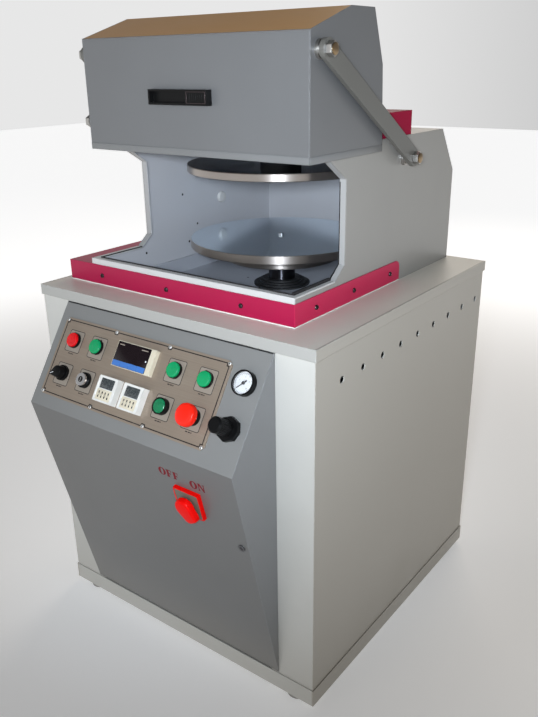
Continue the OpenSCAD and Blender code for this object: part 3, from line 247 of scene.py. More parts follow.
class Graph:
    """Node tree of a material or of the world."""

    def __init__(self, owner: Union[bpy.types.Material, bpy.types.World], space: str = "Object") -> None:
        """Starts an empty tree with the place that is shaded.

        Args:
            owner: Material or world that has the tree.
            space: Coordinates of the place.
        """
        owner.use_nodes = True
        self.tree = owner.node_tree
        self.tree.nodes.clear()
        self.place = self.node("ShaderNodeTexCoord", output=space)

    def node(self, kind: str, settings: dict | None = None, inputs: dict | None = None,
             output: int | str = 0) -> Socket:
        """Adds a node.

        Args:
            kind: Type of the node.
            settings: Attributes that are set first.
            inputs: Values or links by the socket's name or number; a colour gets its alpha here.
            output: Name or number of the wanted output.

        Returns:
            The wanted output.
        """
        made = self.tree.nodes.new(kind)
        for key, value in (settings or {}).items():
            setattr(made, key, value)
        for key, value in (inputs or {}).items():
            socket = made.inputs[key]
            if isinstance(value, Socket):
                self.tree.links.new(value.raw, socket)
            else:
                socket.default_value = (*value, 1.0) if socket.type == "RGBA" else value
        return Socket(self, made.outputs[output])

    def axes(self, vector: Socket | None = None) -> tuple[Socket, Socket, Socket]:
        """X, Y and Z of a vector, or of the place on the machine, in metres."""
        split = self.node("ShaderNodeSeparateXYZ", None, {0: vector or self.place}).raw.node
        return tuple(Socket(self, out) for out in split.outputs)

    def normal(self) -> Socket:
        """True normal of the surface."""
        return self.node("ShaderNodeNewGeometry", output="True Normal")

    def dot(self, first: Socket, second: Union[Socket, Point3]) -> Socket:
        """Dot product of two vectors."""
        return self.node("ShaderNodeVectorMath", {"operation": "DOT_PRODUCT"}, {0: first, 1: second}, "Value")

    def stretched(self, scale: Point3, spin: Point3 = (0, 0, 0)) -> Socket:
        """Place, turned and then scaled along its axes."""
        turned = self.node("ShaderNodeVectorRotate", {"rotation_type": "EULER_XYZ"},
                           {"Vector": self.place, "Rotation": spin})
        return self.node("ShaderNodeVectorMath", {"operation": "MULTIPLY"}, {0: turned, 1: scale})

    def noise(self, scale: float, detail: float = 3.0, vector: Socket | None = None) -> Socket:
        """Cloudy values round a half."""
        return self.node("ShaderNodeTexNoise", None,
                         {"Vector": vector or self.place, "Scale": scale, "Detail": detail})

    def mix(self, mask: Value, first: Union[Socket, Colour], second: Union[Socket, Colour]) -> Socket:
        """Colour between two others; a mask of zero gives the first and one the second."""
        return self.node("ShaderNodeMix", {"data_type": "RGBA"}, {0: mask, 6: first, 7: second}, 2)

    def bump(self, height: Socket, strength: float, distance: float, normal: Socket | None = None) -> Socket:
        """Normal that follows a height.

        Args:
            height: Height, from zero to one.
            strength: Share of the effect.
            distance: Height of one, in metres.
            normal: Normal that it starts from.

        Returns:
            The bent normal.
        """
        inputs = {"Height": height, "Strength": strength, "Distance": distance}
        if normal is not None:
            inputs["Normal"] = normal
        return self.node("ShaderNodeBump", None, inputs)

    def rounded(self, radius: float) -> Socket:
        """Normal that rounds the solid's sharp edges, for a radius in metres."""
        return self.node("ShaderNodeBevel", {"samples": 4}, {"Radius": radius})

    def rub(self, rounded: Socket) -> Socket:
        """Mask of the edges, where the rounded normal leaves the true one."""
        return (1.0 - self.dot(rounded, self.normal())).ramp(0.02, 0.25)

    def close(self, shader: Socket, kind: str) -> None:
        """Links a shader to an output node of a kind."""
        self.tree.links.new(shader.raw, self.tree.nodes.new(kind).inputs["Surface"])

    def finish(self, sockets: dict) -> None:
        """Closes a material's tree with a Principled shader that takes these values or links."""
        self.close(self.node("ShaderNodeBsdfPrincipled", None, sockets), "ShaderNodeOutputMaterial")


@dataclass(frozen=True)
class Finish:
    """A surface finish; its material is made once."""

    name: str

    def sockets(self, graph: Graph) -> dict:
        """Values or links of the shader's sockets."""
        raise NotImplementedError

    def material(self) -> bpy.types.Material:
        """The finish's material, made on first use."""
        found = bpy.data.materials.get(self.name)
        if found is None:
            found = bpy.data.materials.new(self.name)
            graph = Graph(found)
            graph.finish(self.sockets(graph))
        return found


class Part(Enum):
    """Part of a folded sheet that can have a tone of its own, mostly painted light or shade."""

    FRONT = "front"
    RIGHT = "right"
    SIDES = "sides"
    UNDER = "under"


@dataclass(frozen=True)
class Zone:
    """Second tone of a paint on one part of a solid, past a limit in millimetres; most zones paint light or shade on
    that face.
    """

    part: Part
    limit: float
    colour: Colour

    def mask(self, x: Socket, y: Socket, z: Socket) -> Socket:
        """One inside the zone and zero outside.

        Args:
            x: Place in X, in metres.
            y: Place in Y, in metres.
            z: Height, in metres.

        Returns:
            The mask.
        """
        if self.part is Part.FRONT:
            return 1.0 - y.over((self.limit - ORIGIN_Y) * MM)
        if self.part is Part.UNDER:
            return 1.0 - z.over(self.limit * MM)
        return (abs(x) if self.part is Part.SIDES else x).over(self.limit * MM)


@dataclass(frozen=True)
class Enamel(Finish):
    """Baked paint on folded sheet, with a fine peel, lighter edges and dust low down; the lighter edges are partly
    rubbed wear and partly painted highlight on the bends, and zones and inside tones paint light and shade on some
    faces.
    """

    colour: Colour
    rough: float = 0.42
    coat: float = 0.15
    shine: float = 0.5
    shade: float = 0.08
    rubbed_and_highlight: float = 0.28
    zones: tuple[Zone, ...] = ()
    inside: Optional[Colour] = None
    flange: Optional[Colour] = None
    bare_beyond: float = 0.0

    def sockets(self, graph: Graph) -> dict:
        """Values or links of the shader's sockets."""
        x, y, z = graph.axes()
        cloud = graph.noise(7.0, 4.0)
        speck = graph.noise(420.0, 2.0)
        edge = graph.rounded(0.0016)
        paint = graph.mix(cloud, tinted(self.colour, 1 - self.shade), tinted(self.colour, 1 + self.shade))
        # Paler tones inside the opening and on its flange: painted light.
        if self.inside and self.flange:
            across, _, _ = graph.axes(graph.normal())
            inner = y.over((INNER_FRONT - ORIGIN_Y) * MM) | abs(across).over(SQUARE_ON)
            outer = abs(x).over(INNER_X * MM) | y.over((INNER_Y - ORIGIN_Y) * MM) | z.over(INNER_Z * MM)
            paint = graph.mix(outer, graph.mix(inner, self.flange, self.inside), paint)
        for zone in self.zones:
            paint = graph.mix(zone.mask(x, y, z), paint, zone.colour)
        dusty = graph.mix((1.0 - z.ramp(0.02, 0.2)) * cloud * 0.35, paint, DUST)
        # Lighter edges: partly rubbed wear and partly painted highlight on the rounded bends.
        worn_and_highlit = graph.mix(graph.rub(edge) * self.rubbed_and_highlight, dusty, tinted(self.colour, 1.5, 0.05))
        rough = self.rough + (cloud - 0.5) * 0.12 + (speck - 0.5) * 0.06
        made = {"Base Color": worn_and_highlit, "Roughness": rough,
                "Normal": graph.bump(graph.noise(260.0, 1.0), 0.12, 0.0004, edge),
                "Coat Weight": self.coat, "Coat Roughness": 0.25, "Specular IOR Level": self.shine}
        if self.bare_beyond:
            bare = abs(x).over(self.bare_beyond * MM)
            made["Base Color"] = graph.mix(bare, worn_and_highlit, BARE_METAL)
            made["Metallic"] = bare
            made["Roughness"] = rough * (1.0 - bare) + bare * 0.4
        return made


class Grain(Enum):
    """Direction of a metal's tool marks."""

    TURNED = "turned"
    EVEN = "even"


@dataclass(frozen=True)
class Metal(Finish):
    """Bare or plated metal with tool marks; turned marks stretch its highlights across them."""

    colour: Colour
    rough: float = 0.25
    grain: Grain = Grain.EVEN
    marks: float = 0.25
    stain: float = 0.15
    stretch: float = 0.0
    metallic: float = 1.0

    def sockets(self, graph: Graph) -> dict:
        """Values or links of the shader's sockets."""
        if self.grain is Grain.TURNED:
            x, y, z = graph.axes()
            out = y - (AXIS_Y - ORIGIN_Y) * MM
            radius = (x * x + out * out) ** 0.5
            vector = graph.node("ShaderNodeCombineXYZ", None, {0: radius * 900.0, 1: z * 900.0, 2: 0.0})
            marks = graph.noise(1.0, 2.0, vector)
        else:
            marks = graph.noise(160.0)
        cloud = graph.noise(14.0, 4.0)
        dark = tinted(self.colour, 1 - self.stain)
        return {
            "Base Color": graph.mix((cloud * 0.6 + marks * 0.4).ramp(0.3, 0.7), dark, self.colour),
            "Metallic": self.metallic,
            "Roughness": self.rough + (marks - 0.5) * self.marks * 0.5 + (cloud - 0.5) * 0.06,
            "Normal": graph.bump(marks, self.marks * 0.3, 0.0001, graph.rounded(0.0007)),
            "Anisotropic": self.stretch, "Anisotropic Rotation": 0.25}


@dataclass(frozen=True)
class Plastic(Finish):
    """Moulded plastic with a fine texture; a faint glow can be added, which on the lenses, the stop button and the
    switch is painted light.
    """

    colour: Colour
    rough: float = 0.35
    texture: float = 0.2
    glow: float = 0.0
    alpha: float = 1.0
    shine: float = 0.5

    def sockets(self, graph: Graph) -> dict:
        """Values or links of the shader's sockets."""
        cloud = graph.noise(40.0)
        colour = graph.mix(cloud, tinted(self.colour, 0.88), tinted(self.colour, 1.08, 0.002))
        made = {
            "Base Color": colour, "Roughness": self.rough + (cloud - 0.5) * 0.1,
            "Normal": graph.bump(graph.noise(900.0, 2.0), self.texture, 0.00012, graph.rounded(0.0005)),
            "Specular IOR Level": self.shine}
        # Glow: painted light on the lenses, the stop button and the switch; the screen's blue bar glows too.
        if self.glow:
            made |= {"Emission Color": colour, "Emission Strength": self.glow}
        if self.alpha < 1:
            made["Alpha"] = self.alpha
        return made


@dataclass(frozen=True)
class Rubber(Finish):
    """Black rubber with a dusty bloom."""

    colour: Colour = (0.012, 0.012, 0.013)
    dusty: Colour = (0.05, 0.05, 0.052)

    def sockets(self, graph: Graph) -> dict:
        """Values or links of the shader's sockets."""
        bloom = graph.noise(60.0, 5.0).ramp(0.45, 0.8)
        return {"Base Color": graph.mix(bloom * 0.5, self.colour, self.dusty),
                "Roughness": 0.55 + bloom * 0.25,
                "Normal": graph.bump(graph.noise(1300.0, 2.0), 0.3, 0.0002)}


@dataclass(frozen=True)
class Panel(Finish):
    """Printed and brushed control plate."""

    colour: Colour
    dark: Colour

    def sockets(self, graph: Graph) -> dict:
        """Values or links of the shader's sockets."""
        streaks = graph.noise(1.0, 4.0, graph.stretched((6.0, 1500.0, 1500.0)))
        mask = (streaks * 0.7 + graph.noise(18.0) * 0.3).ramp(0.3, 0.72)
        return {"Base Color": graph.mix(mask, self.dark, self.colour),
                "Metallic": 0.35, "Roughness": 0.42 + (streaks - 0.5) * 0.2,
                "Normal": graph.bump(streaks, 0.12, 0.0001, graph.rounded(0.0006))}


@dataclass(frozen=True)
class Ink(Finish):
    """Flat printing ink or enamel filling."""

    colour: Colour
    rough: float = 0.5

    def sockets(self, graph: Graph) -> dict:
        """Values or links of the shader's sockets."""
        wear = graph.noise(500.0)
        return {"Base Color": graph.mix(wear * 0.35, self.colour, tinted(self.colour, 0.8, 0.02)),
                "Roughness": self.rough + (wear - 0.5) * 0.2}


@dataclass(frozen=True)
class Crystal(Finish):
    """Liquid crystal window with its grid of segments."""

    ground: Colour
    segment: Colour
    tilt: float

    def sockets(self, graph: Graph) -> dict:
        """Values or links of the shader's sockets."""
        grid = graph.node(
            "ShaderNodeTexBrick", {"offset": 0.0},
            {"Vector": graph.stretched((1.0, 1.0, 1.0), (-math.radians(self.tilt), 0, 0)), "Scale": 400.0,
             "Mortar Size": 0.16, "Brick Width": 0.7, "Row Height": 0.9, "Bias": 0.0}, "Fac")
        patch = graph.noise(350.0, 2.0).ramp(0.42, 0.6)
        return {"Base Color": graph.mix((1.0 - grid) * patch, self.ground, self.segment),
                "Roughness": 0.12 + patch * 0.05, "Coat Weight": 0.6}


class Paints(Enum):
    """The machine's finishes; their names differ from those of the record's slots."""

    # Cabinet: its side panels take a darker, warmer tone, painted shade on the faces turned from the light.
    CABINET = Enamel("cabinet_enamel", srgb(203, 202, 196), 0.45, rubbed_and_highlight=0.5,
                     zones=(Zone(Part.SIDES, 331.0, srgb(176, 171, 161)),))
    # Countertop: the same painted shade on its sides, and a darker tone on its front edge, also painted shade.
    CAP = replace(CABINET, name="cap_enamel", colour=srgb(216, 211, 200),
                  zones=(*CABINET.zones, Zone(Part.FRONT, 0.5, srgb(175, 174, 169))))
    # Door: its lower face is darker, painted shade, and its end faces take a tone of their own, painted light and
    # shade.
    DOOR = Enamel("door_enamel", srgb(131, 131, 129), 0.38, rubbed_and_highlight=0.12, zones=(
        Zone(Part.UNDER, 530.0, srgb(107, 107, 106)), Zone(Part.SIDES, 253.0, srgb(126, 127, 128))))
    # Hood: its much lighter edges are mostly painted highlight along its folds.
    HOOD = Enamel("hood_enamel", srgb(108, 109, 110), 0.38, rubbed_and_highlight=0.7, bare_beyond=254.4)
    HEM = Enamel("hem_enamel", srgb(121, 122, 122), 0.4)
    # Hood roof: its tan-brown colour is a painted reflection of a warm room on the hood's grey sheet; its front strip
    # keeps the hood's grey.
    ROOF = Enamel("roof_painted_reflection", srgb(194, 142, 76), 0.4, 0.1, shade=0.05, rubbed_and_highlight=0.05,
                  zones=(Zone(Part.FRONT, HOOD_FRONT, srgb(112, 112, 112)),))
    # Casting housing: its inside takes a paler, bluish tone and its flange a paler grey, painted light that stands for
    # the flash filling the cavity.
    HOUSING = Enamel("housing_enamel", srgb(153, 151, 146), 0.4, inside=srgb(196, 197, 201),
                     flange=srgb(174, 174, 173), bare_beyond=248.4)
    # Tray: below the lip its floor takes a darker, bluish tone, painted shade and bluish light, so that it runs on
    # from the walls.
    TRAY = Enamel("tray_enamel", srgb(208, 208, 206), 0.4,
                  zones=(Zone(Part.UNDER, TOP_Z + 10, srgb(176, 179, 186)),))
    ARM = Enamel("arm_enamel", srgb(104, 103, 98))
    # Skirt: its right side takes a lighter tone, painted light.
    CRIMSON = Enamel("crimson_enamel", srgb(172, 18, 68), 0.38, 0.05, 0.25,
                     zones=(Zone(Part.RIGHT, 249.0, srgb(200, 36, 82)),))
    COVER = Enamel("cover_enamel", srgb(158, 14, 56), 0.45, 0.0, 0.05)
    IRON = Enamel("frame_enamel", srgb(74, 78, 84), 0.6)
    MOTOR = Enamel("motor_enamel", srgb(52, 84, 122), 0.5)
    # Mould plates' faces: the bluish white is partly a painted reflection of the bluish lit walls.
    PLATE = Metal("polished_plate", srgb(225, 240, 252), 0.1, Grain.TURNED, 0.08, 0.06, metallic=0.85)
    # Plate rims: the dark warm tint is partly a painted reflection of a dark, warm room.
    RIM = Metal("turned_rim", srgb(178, 171, 165), 0.36, Grain.TURNED, 0.2, 0.06, 0.8)
    # Upper plate's top face: near black, a painted reflection of the dark hood above it.
    DARK_TOP = Metal("plate_top_painted_reflection", srgb(50, 45, 44), 0.14, Grain.TURNED, 0.08, 0.1)
    BLUED = Metal("blued_shaft", srgb(86, 86, 92), 0.36, Grain.TURNED, 0.1, 0.1, 0.95)
    # Pivot bolts and washers: the warm brown tint is partly a painted reflection of a warm room.
    BOLT = Metal("bolt_zinc", srgb(152, 130, 100), 0.3, marks=0.2)
    STEEL = Metal("turned_steel", srgb(178, 178, 178), 0.3)
    CHROME = Metal("chrome_plating", srgb(228, 228, 230), 0.08, marks=0.05, stain=0.05)
    ALLOY = Metal("cast_alloy", srgb(176, 178, 182), 0.42, marks=0.4)
    BRASS = Metal("inlet_brass", srgb(198, 164, 92), 0.28)
    SCREW = Metal("black_screw", srgb(92, 82, 84), 0.32, marks=0.3)
    LOCK = Metal("lock_zinc", srgb(122, 122, 124), 0.45, marks=0.2)
    ZINC = Metal("zinc_screw", srgb(238, 237, 234), 0.5, marks=0.2)
    RUBBER = Rubber("black_rubber")
    BLACK = Plastic("black_moulding", (0.004, 0.004, 0.0042), 0.3, shine=0.14)
    # Lenses, stop button and switch glow faintly: painted light, as none of them is lit.
    RED_LENS = Plastic("red_lens", srgb(218, 10, 20), 0.14, 0.05, 0.05)
    GREEN_LENS = Plastic("green_lens", srgb(4, 152, 92), 0.14, 0.05, 0.05)
    GREEN_CAP = Plastic("green_cap", srgb(8, 122, 76), 0.22, 0.1)
    ORANGE = Plastic("signal_orange", srgb(246, 34, 14), 0.25, 0.08, 0.03, shine=0.35)
    SIGNAL = Plastic("signal_red", srgb(240, 6, 2), 0.36, 0.08, 0.03, shine=0.1)
    FOOT = Plastic("foot_grey", srgb(150, 147, 142), 0.55, 0.3)
    IVORY = Plastic("ivory_case", srgb(226, 216, 192), 0.4, 0.15)
    WHITE = Plastic("white_cover", srgb(236, 234, 228), 0.2, 0.05)
    CLEAR = Plastic("clear_cover", srgb(240, 240, 238), 0.05, 0.02, alpha=0.06)
    SCREEN = Plastic("screen_black", srgb(26, 16, 20), 0.1, 0.02)
    BLUE = Plastic("screen_blue", srgb(62, 116, 190), 0.3, 0.02, 0.08)
    DIAL = Ink("dial_white", srgb(236, 238, 240), 0.4)
    TICK = Ink("dial_black", srgb(24, 24, 28), 0.4)
    LEGEND = Ink("legend_grey", srgb(152, 141, 128), 0.45)
    LINE = Ink("plate_line", srgb(26, 14, 12), 0.7)
    FAINT = Ink("legend_line", srgb(52, 42, 38), 0.7)
    LETTER = Ink("letter_crimson", srgb(120, 0, 22), 0.85)
    FIELD = Ink("switch_field", srgb(112, 106, 94))
    PANEL = Panel("control_plate_print", srgb(160, 146, 130), srgb(146, 131, 116))
    CRYSTAL = Crystal("timer_window", srgb(60, 64, 66), srgb(112, 116, 112), PANEL_LEAN)


def arc(radius: float, degrees: range) -> list[Point2]:
    """Points of an arc at whole degrees."""
    return [(radius * math.cos(math.radians(a)), radius * math.sin(math.radians(a))) for a in degrees]


def circle(radius: float, count: int = 32, wide: float = 1.0) -> list[Point2]:
    """Points of a circle, or of an ellipse that is stretched in X, anticlockwise."""
    turn = math.tau / count
    return [(radius * wide * math.cos(i * turn), radius * math.sin(i * turn)) for i in range(count)]


def rectangle(width: float, height: float, radius: float = 0.0, steps: int = 5) -> list[Point2]:
    """Outline of a centred rectangle with round corners.

    Args:
        width: Size in X.
        height: Size in Y.
        radius: Radius of the corners.
        steps: Points on each corner.

    Returns:
        The outline, anticlockwise.
    """
    if not radius:
        return [(sx * width / 2, sy * height / 2) for sx, sy in ((-1, -1), (1, -1), (1, 1), (-1, 1))]
    points = []
    for quarter, (sx, sy) in enumerate(((1, 1), (-1, 1), (-1, -1), (1, -1))):
        for step in range(steps + 1):
            angle = (quarter + step / steps) * math.pi / 2
            points.append((sx * (width / 2 - radius) + radius * math.cos(angle),
                           sy * (height / 2 - radius) + radius * math.sin(angle)))
    return points


@dataclass
class Shape:
    """A piece under construction, in millimetres; finishes are numbered as they come."""

    mesh: bmesh.types.BMesh = field(default_factory=bmesh.new)
    paints: list[Paints] = field(default_factory=list)
    sharp: float = 32.0

    def _number(self, paint: Paints) -> int:
        """Number of a finish, which is added when it is new."""
        if paint not in self.paints:
            self.paints.append(paint)
        return self.paints.index(paint)

    def _place(self, old: set, place: Matrix) -> None:
        """Places what was added since old was taken."""
        bmesh.ops.transform(self.mesh, matrix=place, verts=[v for v in self.mesh.verts if v not in old])

    def _close(self, old: set, place: Matrix, paint: Paints, smooth: bool = False) -> None:
        """Merges, turns outwards, paints and places what was added since old was taken.

        Args:
            old: Vertices from before.
            place: Where the new ones go.
            paint: Finish of the new faces.
            smooth: Whether they are shaded smooth.
        """
        verts = [v for v in self.mesh.verts if v not in old]
        bmesh.ops.remove_doubles(self.mesh, verts=verts, dist=1e-4)
        faces = [f for f in self.mesh.faces if f.verts[0] not in old]
        bmesh.ops.recalc_face_normals(self.mesh, faces=faces)
        number = self._number(paint)
        for face in faces:
            face.material_index = number
            face.smooth = smooth
        self._place(old, place)

    def _loop(self, outline: Sequence[Point2], level: float) -> list[bmesh.types.BMVert]:
        """Adds an outline's points at a height."""
        return [self.mesh.verts.new((x, y, level)) for x, y in outline]

    def _raise(self, faces: list[bmesh.types.BMFace], height: float) -> tuple[list, list]:
        """Extrudes faces upwards.

        Args:
            faces: Faces that are raised.
            height: Distance that they rise.

        Returns:
            The raised vertices and edges.
        """
        raised = bmesh.ops.extrude_face_region(self.mesh, geom=faces)["geom"]
        tops = [v for v in raised if isinstance(v, bmesh.types.BMVert)]
        bmesh.ops.translate(self.mesh, vec=(0, 0, height), verts=tops)
        return tops, [e for e in raised if isinstance(e, bmesh.types.BMEdge)]

    def lathe(self, profile: Sequence[Point2], place: Matrix, paint: Paints, steps: int = 40) -> None:
        """Turns a profile of radius and height round Z.

        Args:
            profile: Radius and height of each point; it starts and ends on the axis, or is a closed ring.
            place: Where it goes.
            paint: Its finish.
            steps: Number of faces round the axis.
        """
        old = set(self.mesh.verts)
        verts = [self.mesh.verts.new((r, 0, z)) for r, z in profile]
        edges = [self.mesh.edges.new(pair) for pair in zip(verts, verts[1:])]
        bmesh.ops.spin(self.mesh, geom=verts + edges, cent=(0, 0, 0), axis=(0, 0, 1), dvec=(0, 0, 0),
                       angle=math.tau, steps=steps, use_merge=True, use_duplicate=False)
        self._close(old, place, paint, True)

    def turned(self, sections: Sequence[tuple[Paints, Sequence[Point2]]], place: Matrix,
               steps: int = 128) -> None:
        """Turns a profile whose sections have their own finishes; each starts where the last one ended.

        Args:
            sections: Finish and points of each section, as radius and height.
            place: Where it goes.
            steps: Number of faces round the axis.
        """
        profile = [point for _, points in sections for point in points]
        paints = [paint for paint, points in sections for _ in points][1:]
        old = set(self.mesh.verts)
        self.lathe(profile, Matrix.Identity(4), paints[0], steps)
        shrink = math.cos(math.pi / steps)
        middles = [((a[0] + b[0]) / 2 * shrink, (a[1] + b[1]) / 2) for a, b in zip(profile, profile[1:])]
        for face in [f for f in self.mesh.faces if f.verts[0] not in old]:
            spot = face.calc_center_median()
            at = (math.hypot(spot.x, spot.y), spot.z)
            near = min(range(len(middles)), key=lambda i: math.dist(middles[i], at))
            face.material_index = self._number(paints[near])
        self._place(old, place)

    def slab(self, outline: Sequence[Point2], low: float, high: float, place: Matrix, paint: Paints,
             edge: float = 0.0, segments: int = 2, crown: float = 1.0) -> None:
        """Raises a flat outline to a plate.

        Args:
            outline: Points in X and Y, anticlockwise.
            low: Height of its underside.
            high: Height of its upper face.
            place: Where it goes.
            paint: Its finish.
            edge: Radius of the upper rim.
            segments: Number of faces across that radius.
            crown: Size of the upper face against the lower one.
        """
        old = set(self.mesh.verts)
        tops, rim = self._raise([self.mesh.faces.new(self._loop(outline, low))], high - low)
        bmesh.ops.scale(self.mesh, vec=(crown, crown, 1), verts=tops)
        if edge:
            bmesh.ops.bevel(self.mesh, geom=rim, offset=edge, offset_type="OFFSET", segments=segments,
                            profile=0.5, affect="EDGES", material=-1, clamp_overlap=True)
        self._close(old, place, paint)

    def ring(self, outer: Sequence[Point2], inner: Sequence[Point2], low: float, high: float, place: Matrix,
             paint: Paints) -> None:
        """Raises the band between two outlines with the same number of points.

        Args:
            outer: Outer outline.
            inner: Inner outline.
            low: Height of its underside.
            high: Height of its upper face.
            place: Where it goes.
            paint: Its finish.
        """
        old = set(self.mesh.verts)
        loops = []
        for outline in (outer, inner):
            verts = self._loop(outline, low)
            loops += [self.mesh.edges.new((a, b)) for a, b in zip(verts, verts[1:] + verts[:1])]
        self._raise(bmesh.ops.bridge_loops(self.mesh, edges=loops)["faces"], high - low)
        self._close(old, place, paint)

    def line(self, outline: Sequence[Point2], width: float, low: float, high: float, place: Matrix,
             paint: Paints) -> None:
        """Raises a closed line of even width inside an outline.

        Args:
            outline: Points in X and Y, anticlockwise.
            width: Width of the line.
            low: Height of its underside.
            high: Height of its upper face.
            place: Where it goes.
            paint: Its finish.
        """
        old = set(self.mesh.verts)
        base = self.mesh.faces.new(self._loop(outline, low))
        base.normal_update()
        band = bmesh.ops.inset_region(self.mesh, faces=[base], thickness=width, use_boundary=True,
                                      use_even_offset=True)["faces"]
        bmesh.ops.delete(self.mesh, geom=[base], context="FACES_ONLY")
        self._raise(band, high - low)
        self._close(old, place, paint)

    def numeral(self, body: str, size: float, place: Matrix, paint: Paints) -> None:
        """Adds flat figures, centred.

        Args:
            body: The figures.
            size: Their height.
            place: Where they go.
            paint: Their finish.
        """
        old = set(self.mesh.verts)
        curve = bpy.data.curves.new("figures", "FONT")
        curve.body = body
        curve.size = size
        curve.align_x = "CENTER"
        curve.align_y = "CENTER"
        curve.extrude = 0.05
        holder = bpy.data.objects.new("figures", curve)
        flat = bpy.data.meshes.new_from_object(holder)
        self.mesh.from_mesh(flat)
        bpy.data.objects.remove(holder)
        bpy.data.curves.remove(curve)
        bpy.data.meshes.remove(flat)
        self._close(old, place, paint)

    def piece(self, name: str, body: str, slot: str, replaces: Sequence[str] = ()) -> None:
        """Turns the shape into a piece that rides on a body.

        Args:
            name: The piece's name.
            body: The body that carries it.
            slot: The record's slot that it takes its finish from.
            replaces: Solids that it stands for.
        """
        data = bpy.data.meshes.new(name)
        bmesh.ops.transform(self.mesh, matrix=Matrix.Scale(MM, 4), verts=self.mesh.verts)
        self.mesh.to_mesh(data)
        self.mesh.free()
        data.set_sharp_from_angle(angle=math.radians(self.sharp))
        for paint in self.paints:
            data.materials.append(paint.value.material())
        made = bpy.data.objects.new(name, data)
        bpy.context.scene.collection.objects.link(made)
        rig.ride(made, body)
        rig.slot(made, slot)
        if replaces:
            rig.replaces(made, *replaces)
        log.info("piece %s on %s: %d faces", name, body, len(data.polygons))


def move(x: float = 0.0, y: float = 0.0, z: float = 0.0) -> Matrix:
    """Translation in millimetres."""
    return Matrix.Translation((x, y, z))


def turn(degrees: float, axis: str = "Z") -> Matrix:
    """Rotation about an axis."""
    return Matrix.Rotation(math.radians(degrees), 4, axis)


class Way(Enum):
    """Direction that a piece faces."""

    LEFT = (-1, 0, 0)
    RIGHT = (1, 0, 0)
    FRONT = (0, -1, 0)
    REAR = (0, 1, 0)
    UP = (0, 0, 1)


# Place of the countertop's front edge
COUNTER = move(0, -ORIGIN_Y, TOP_Z)


def facing(x: float, y: float, z: float, way: Way) -> Matrix:
    """Place whose Z points a way; Y counts from the cabinet's front edge and Z from the floor."""
    lean = Vector(Way.UP.value).rotation_difference(Vector(way.value)).to_matrix().to_4x4()
    return move(x, y - ORIGIN_Y, z) @ lean


@dataclass(frozen=True)
class DoorFace:
    """One sloping face of the door: its upper edge and its lean."""

    y: float
    z: float
    lean: float

    def at(self, x: float, down: float, rise: float = 0.0, spin: float = 0.0) -> Matrix:
        """Place right of the middle and down from the upper edge, with Y up the face and Z out of it."""
        edge = move(0, self.y - ORIGIN_Y, self.z) @ turn(self.lean, "X")
        return edge @ move(x, -down, rise) @ turn(spin)


UPPER = DoorFace(2.0, 706.0, PANEL_LEAN)
LOWER = DoorFace(-115.0, 530.0, 103.671)


@dataclass(frozen=True)
class Screw:
    """Button-head screw with a hexagon recess."""

    radius: float
    height: float
    paint: Paints
    sunk: float = 0.3
    flats: int = 6

    def add(self, shape: Shape, place: Matrix) -> None:
        """Adds the head to a shape.

        Args:
            shape: Shape that takes it.
            place: Where it stands.
        """
        r, h, key = self.radius, self.height, self.radius * 0.5
        shape.lathe([(0, -self.sunk), (r, -self.sunk), (r, h * 0.3), (r * 0.92, h * 0.62),
                     (r * 0.72, h * 0.92), (key * 1.12, h), (key, h * 0.92), (key, h * 0.25), (0, h * 0.2)],
                    place, self.paint, 24)
        # Dark disc at the foot of the hexagon recess: painted shade.
        shape.slab(circle(key * 0.98, self.flats), h * 0.22, h * 0.3, place, Paints.TICK)


@dataclass(frozen=True)
class Cap:
    """Size of a button's cap: its diameter, its bezel's height and its dome's rise above the bezel."""

    width: float
    bezel: float
    rise: float


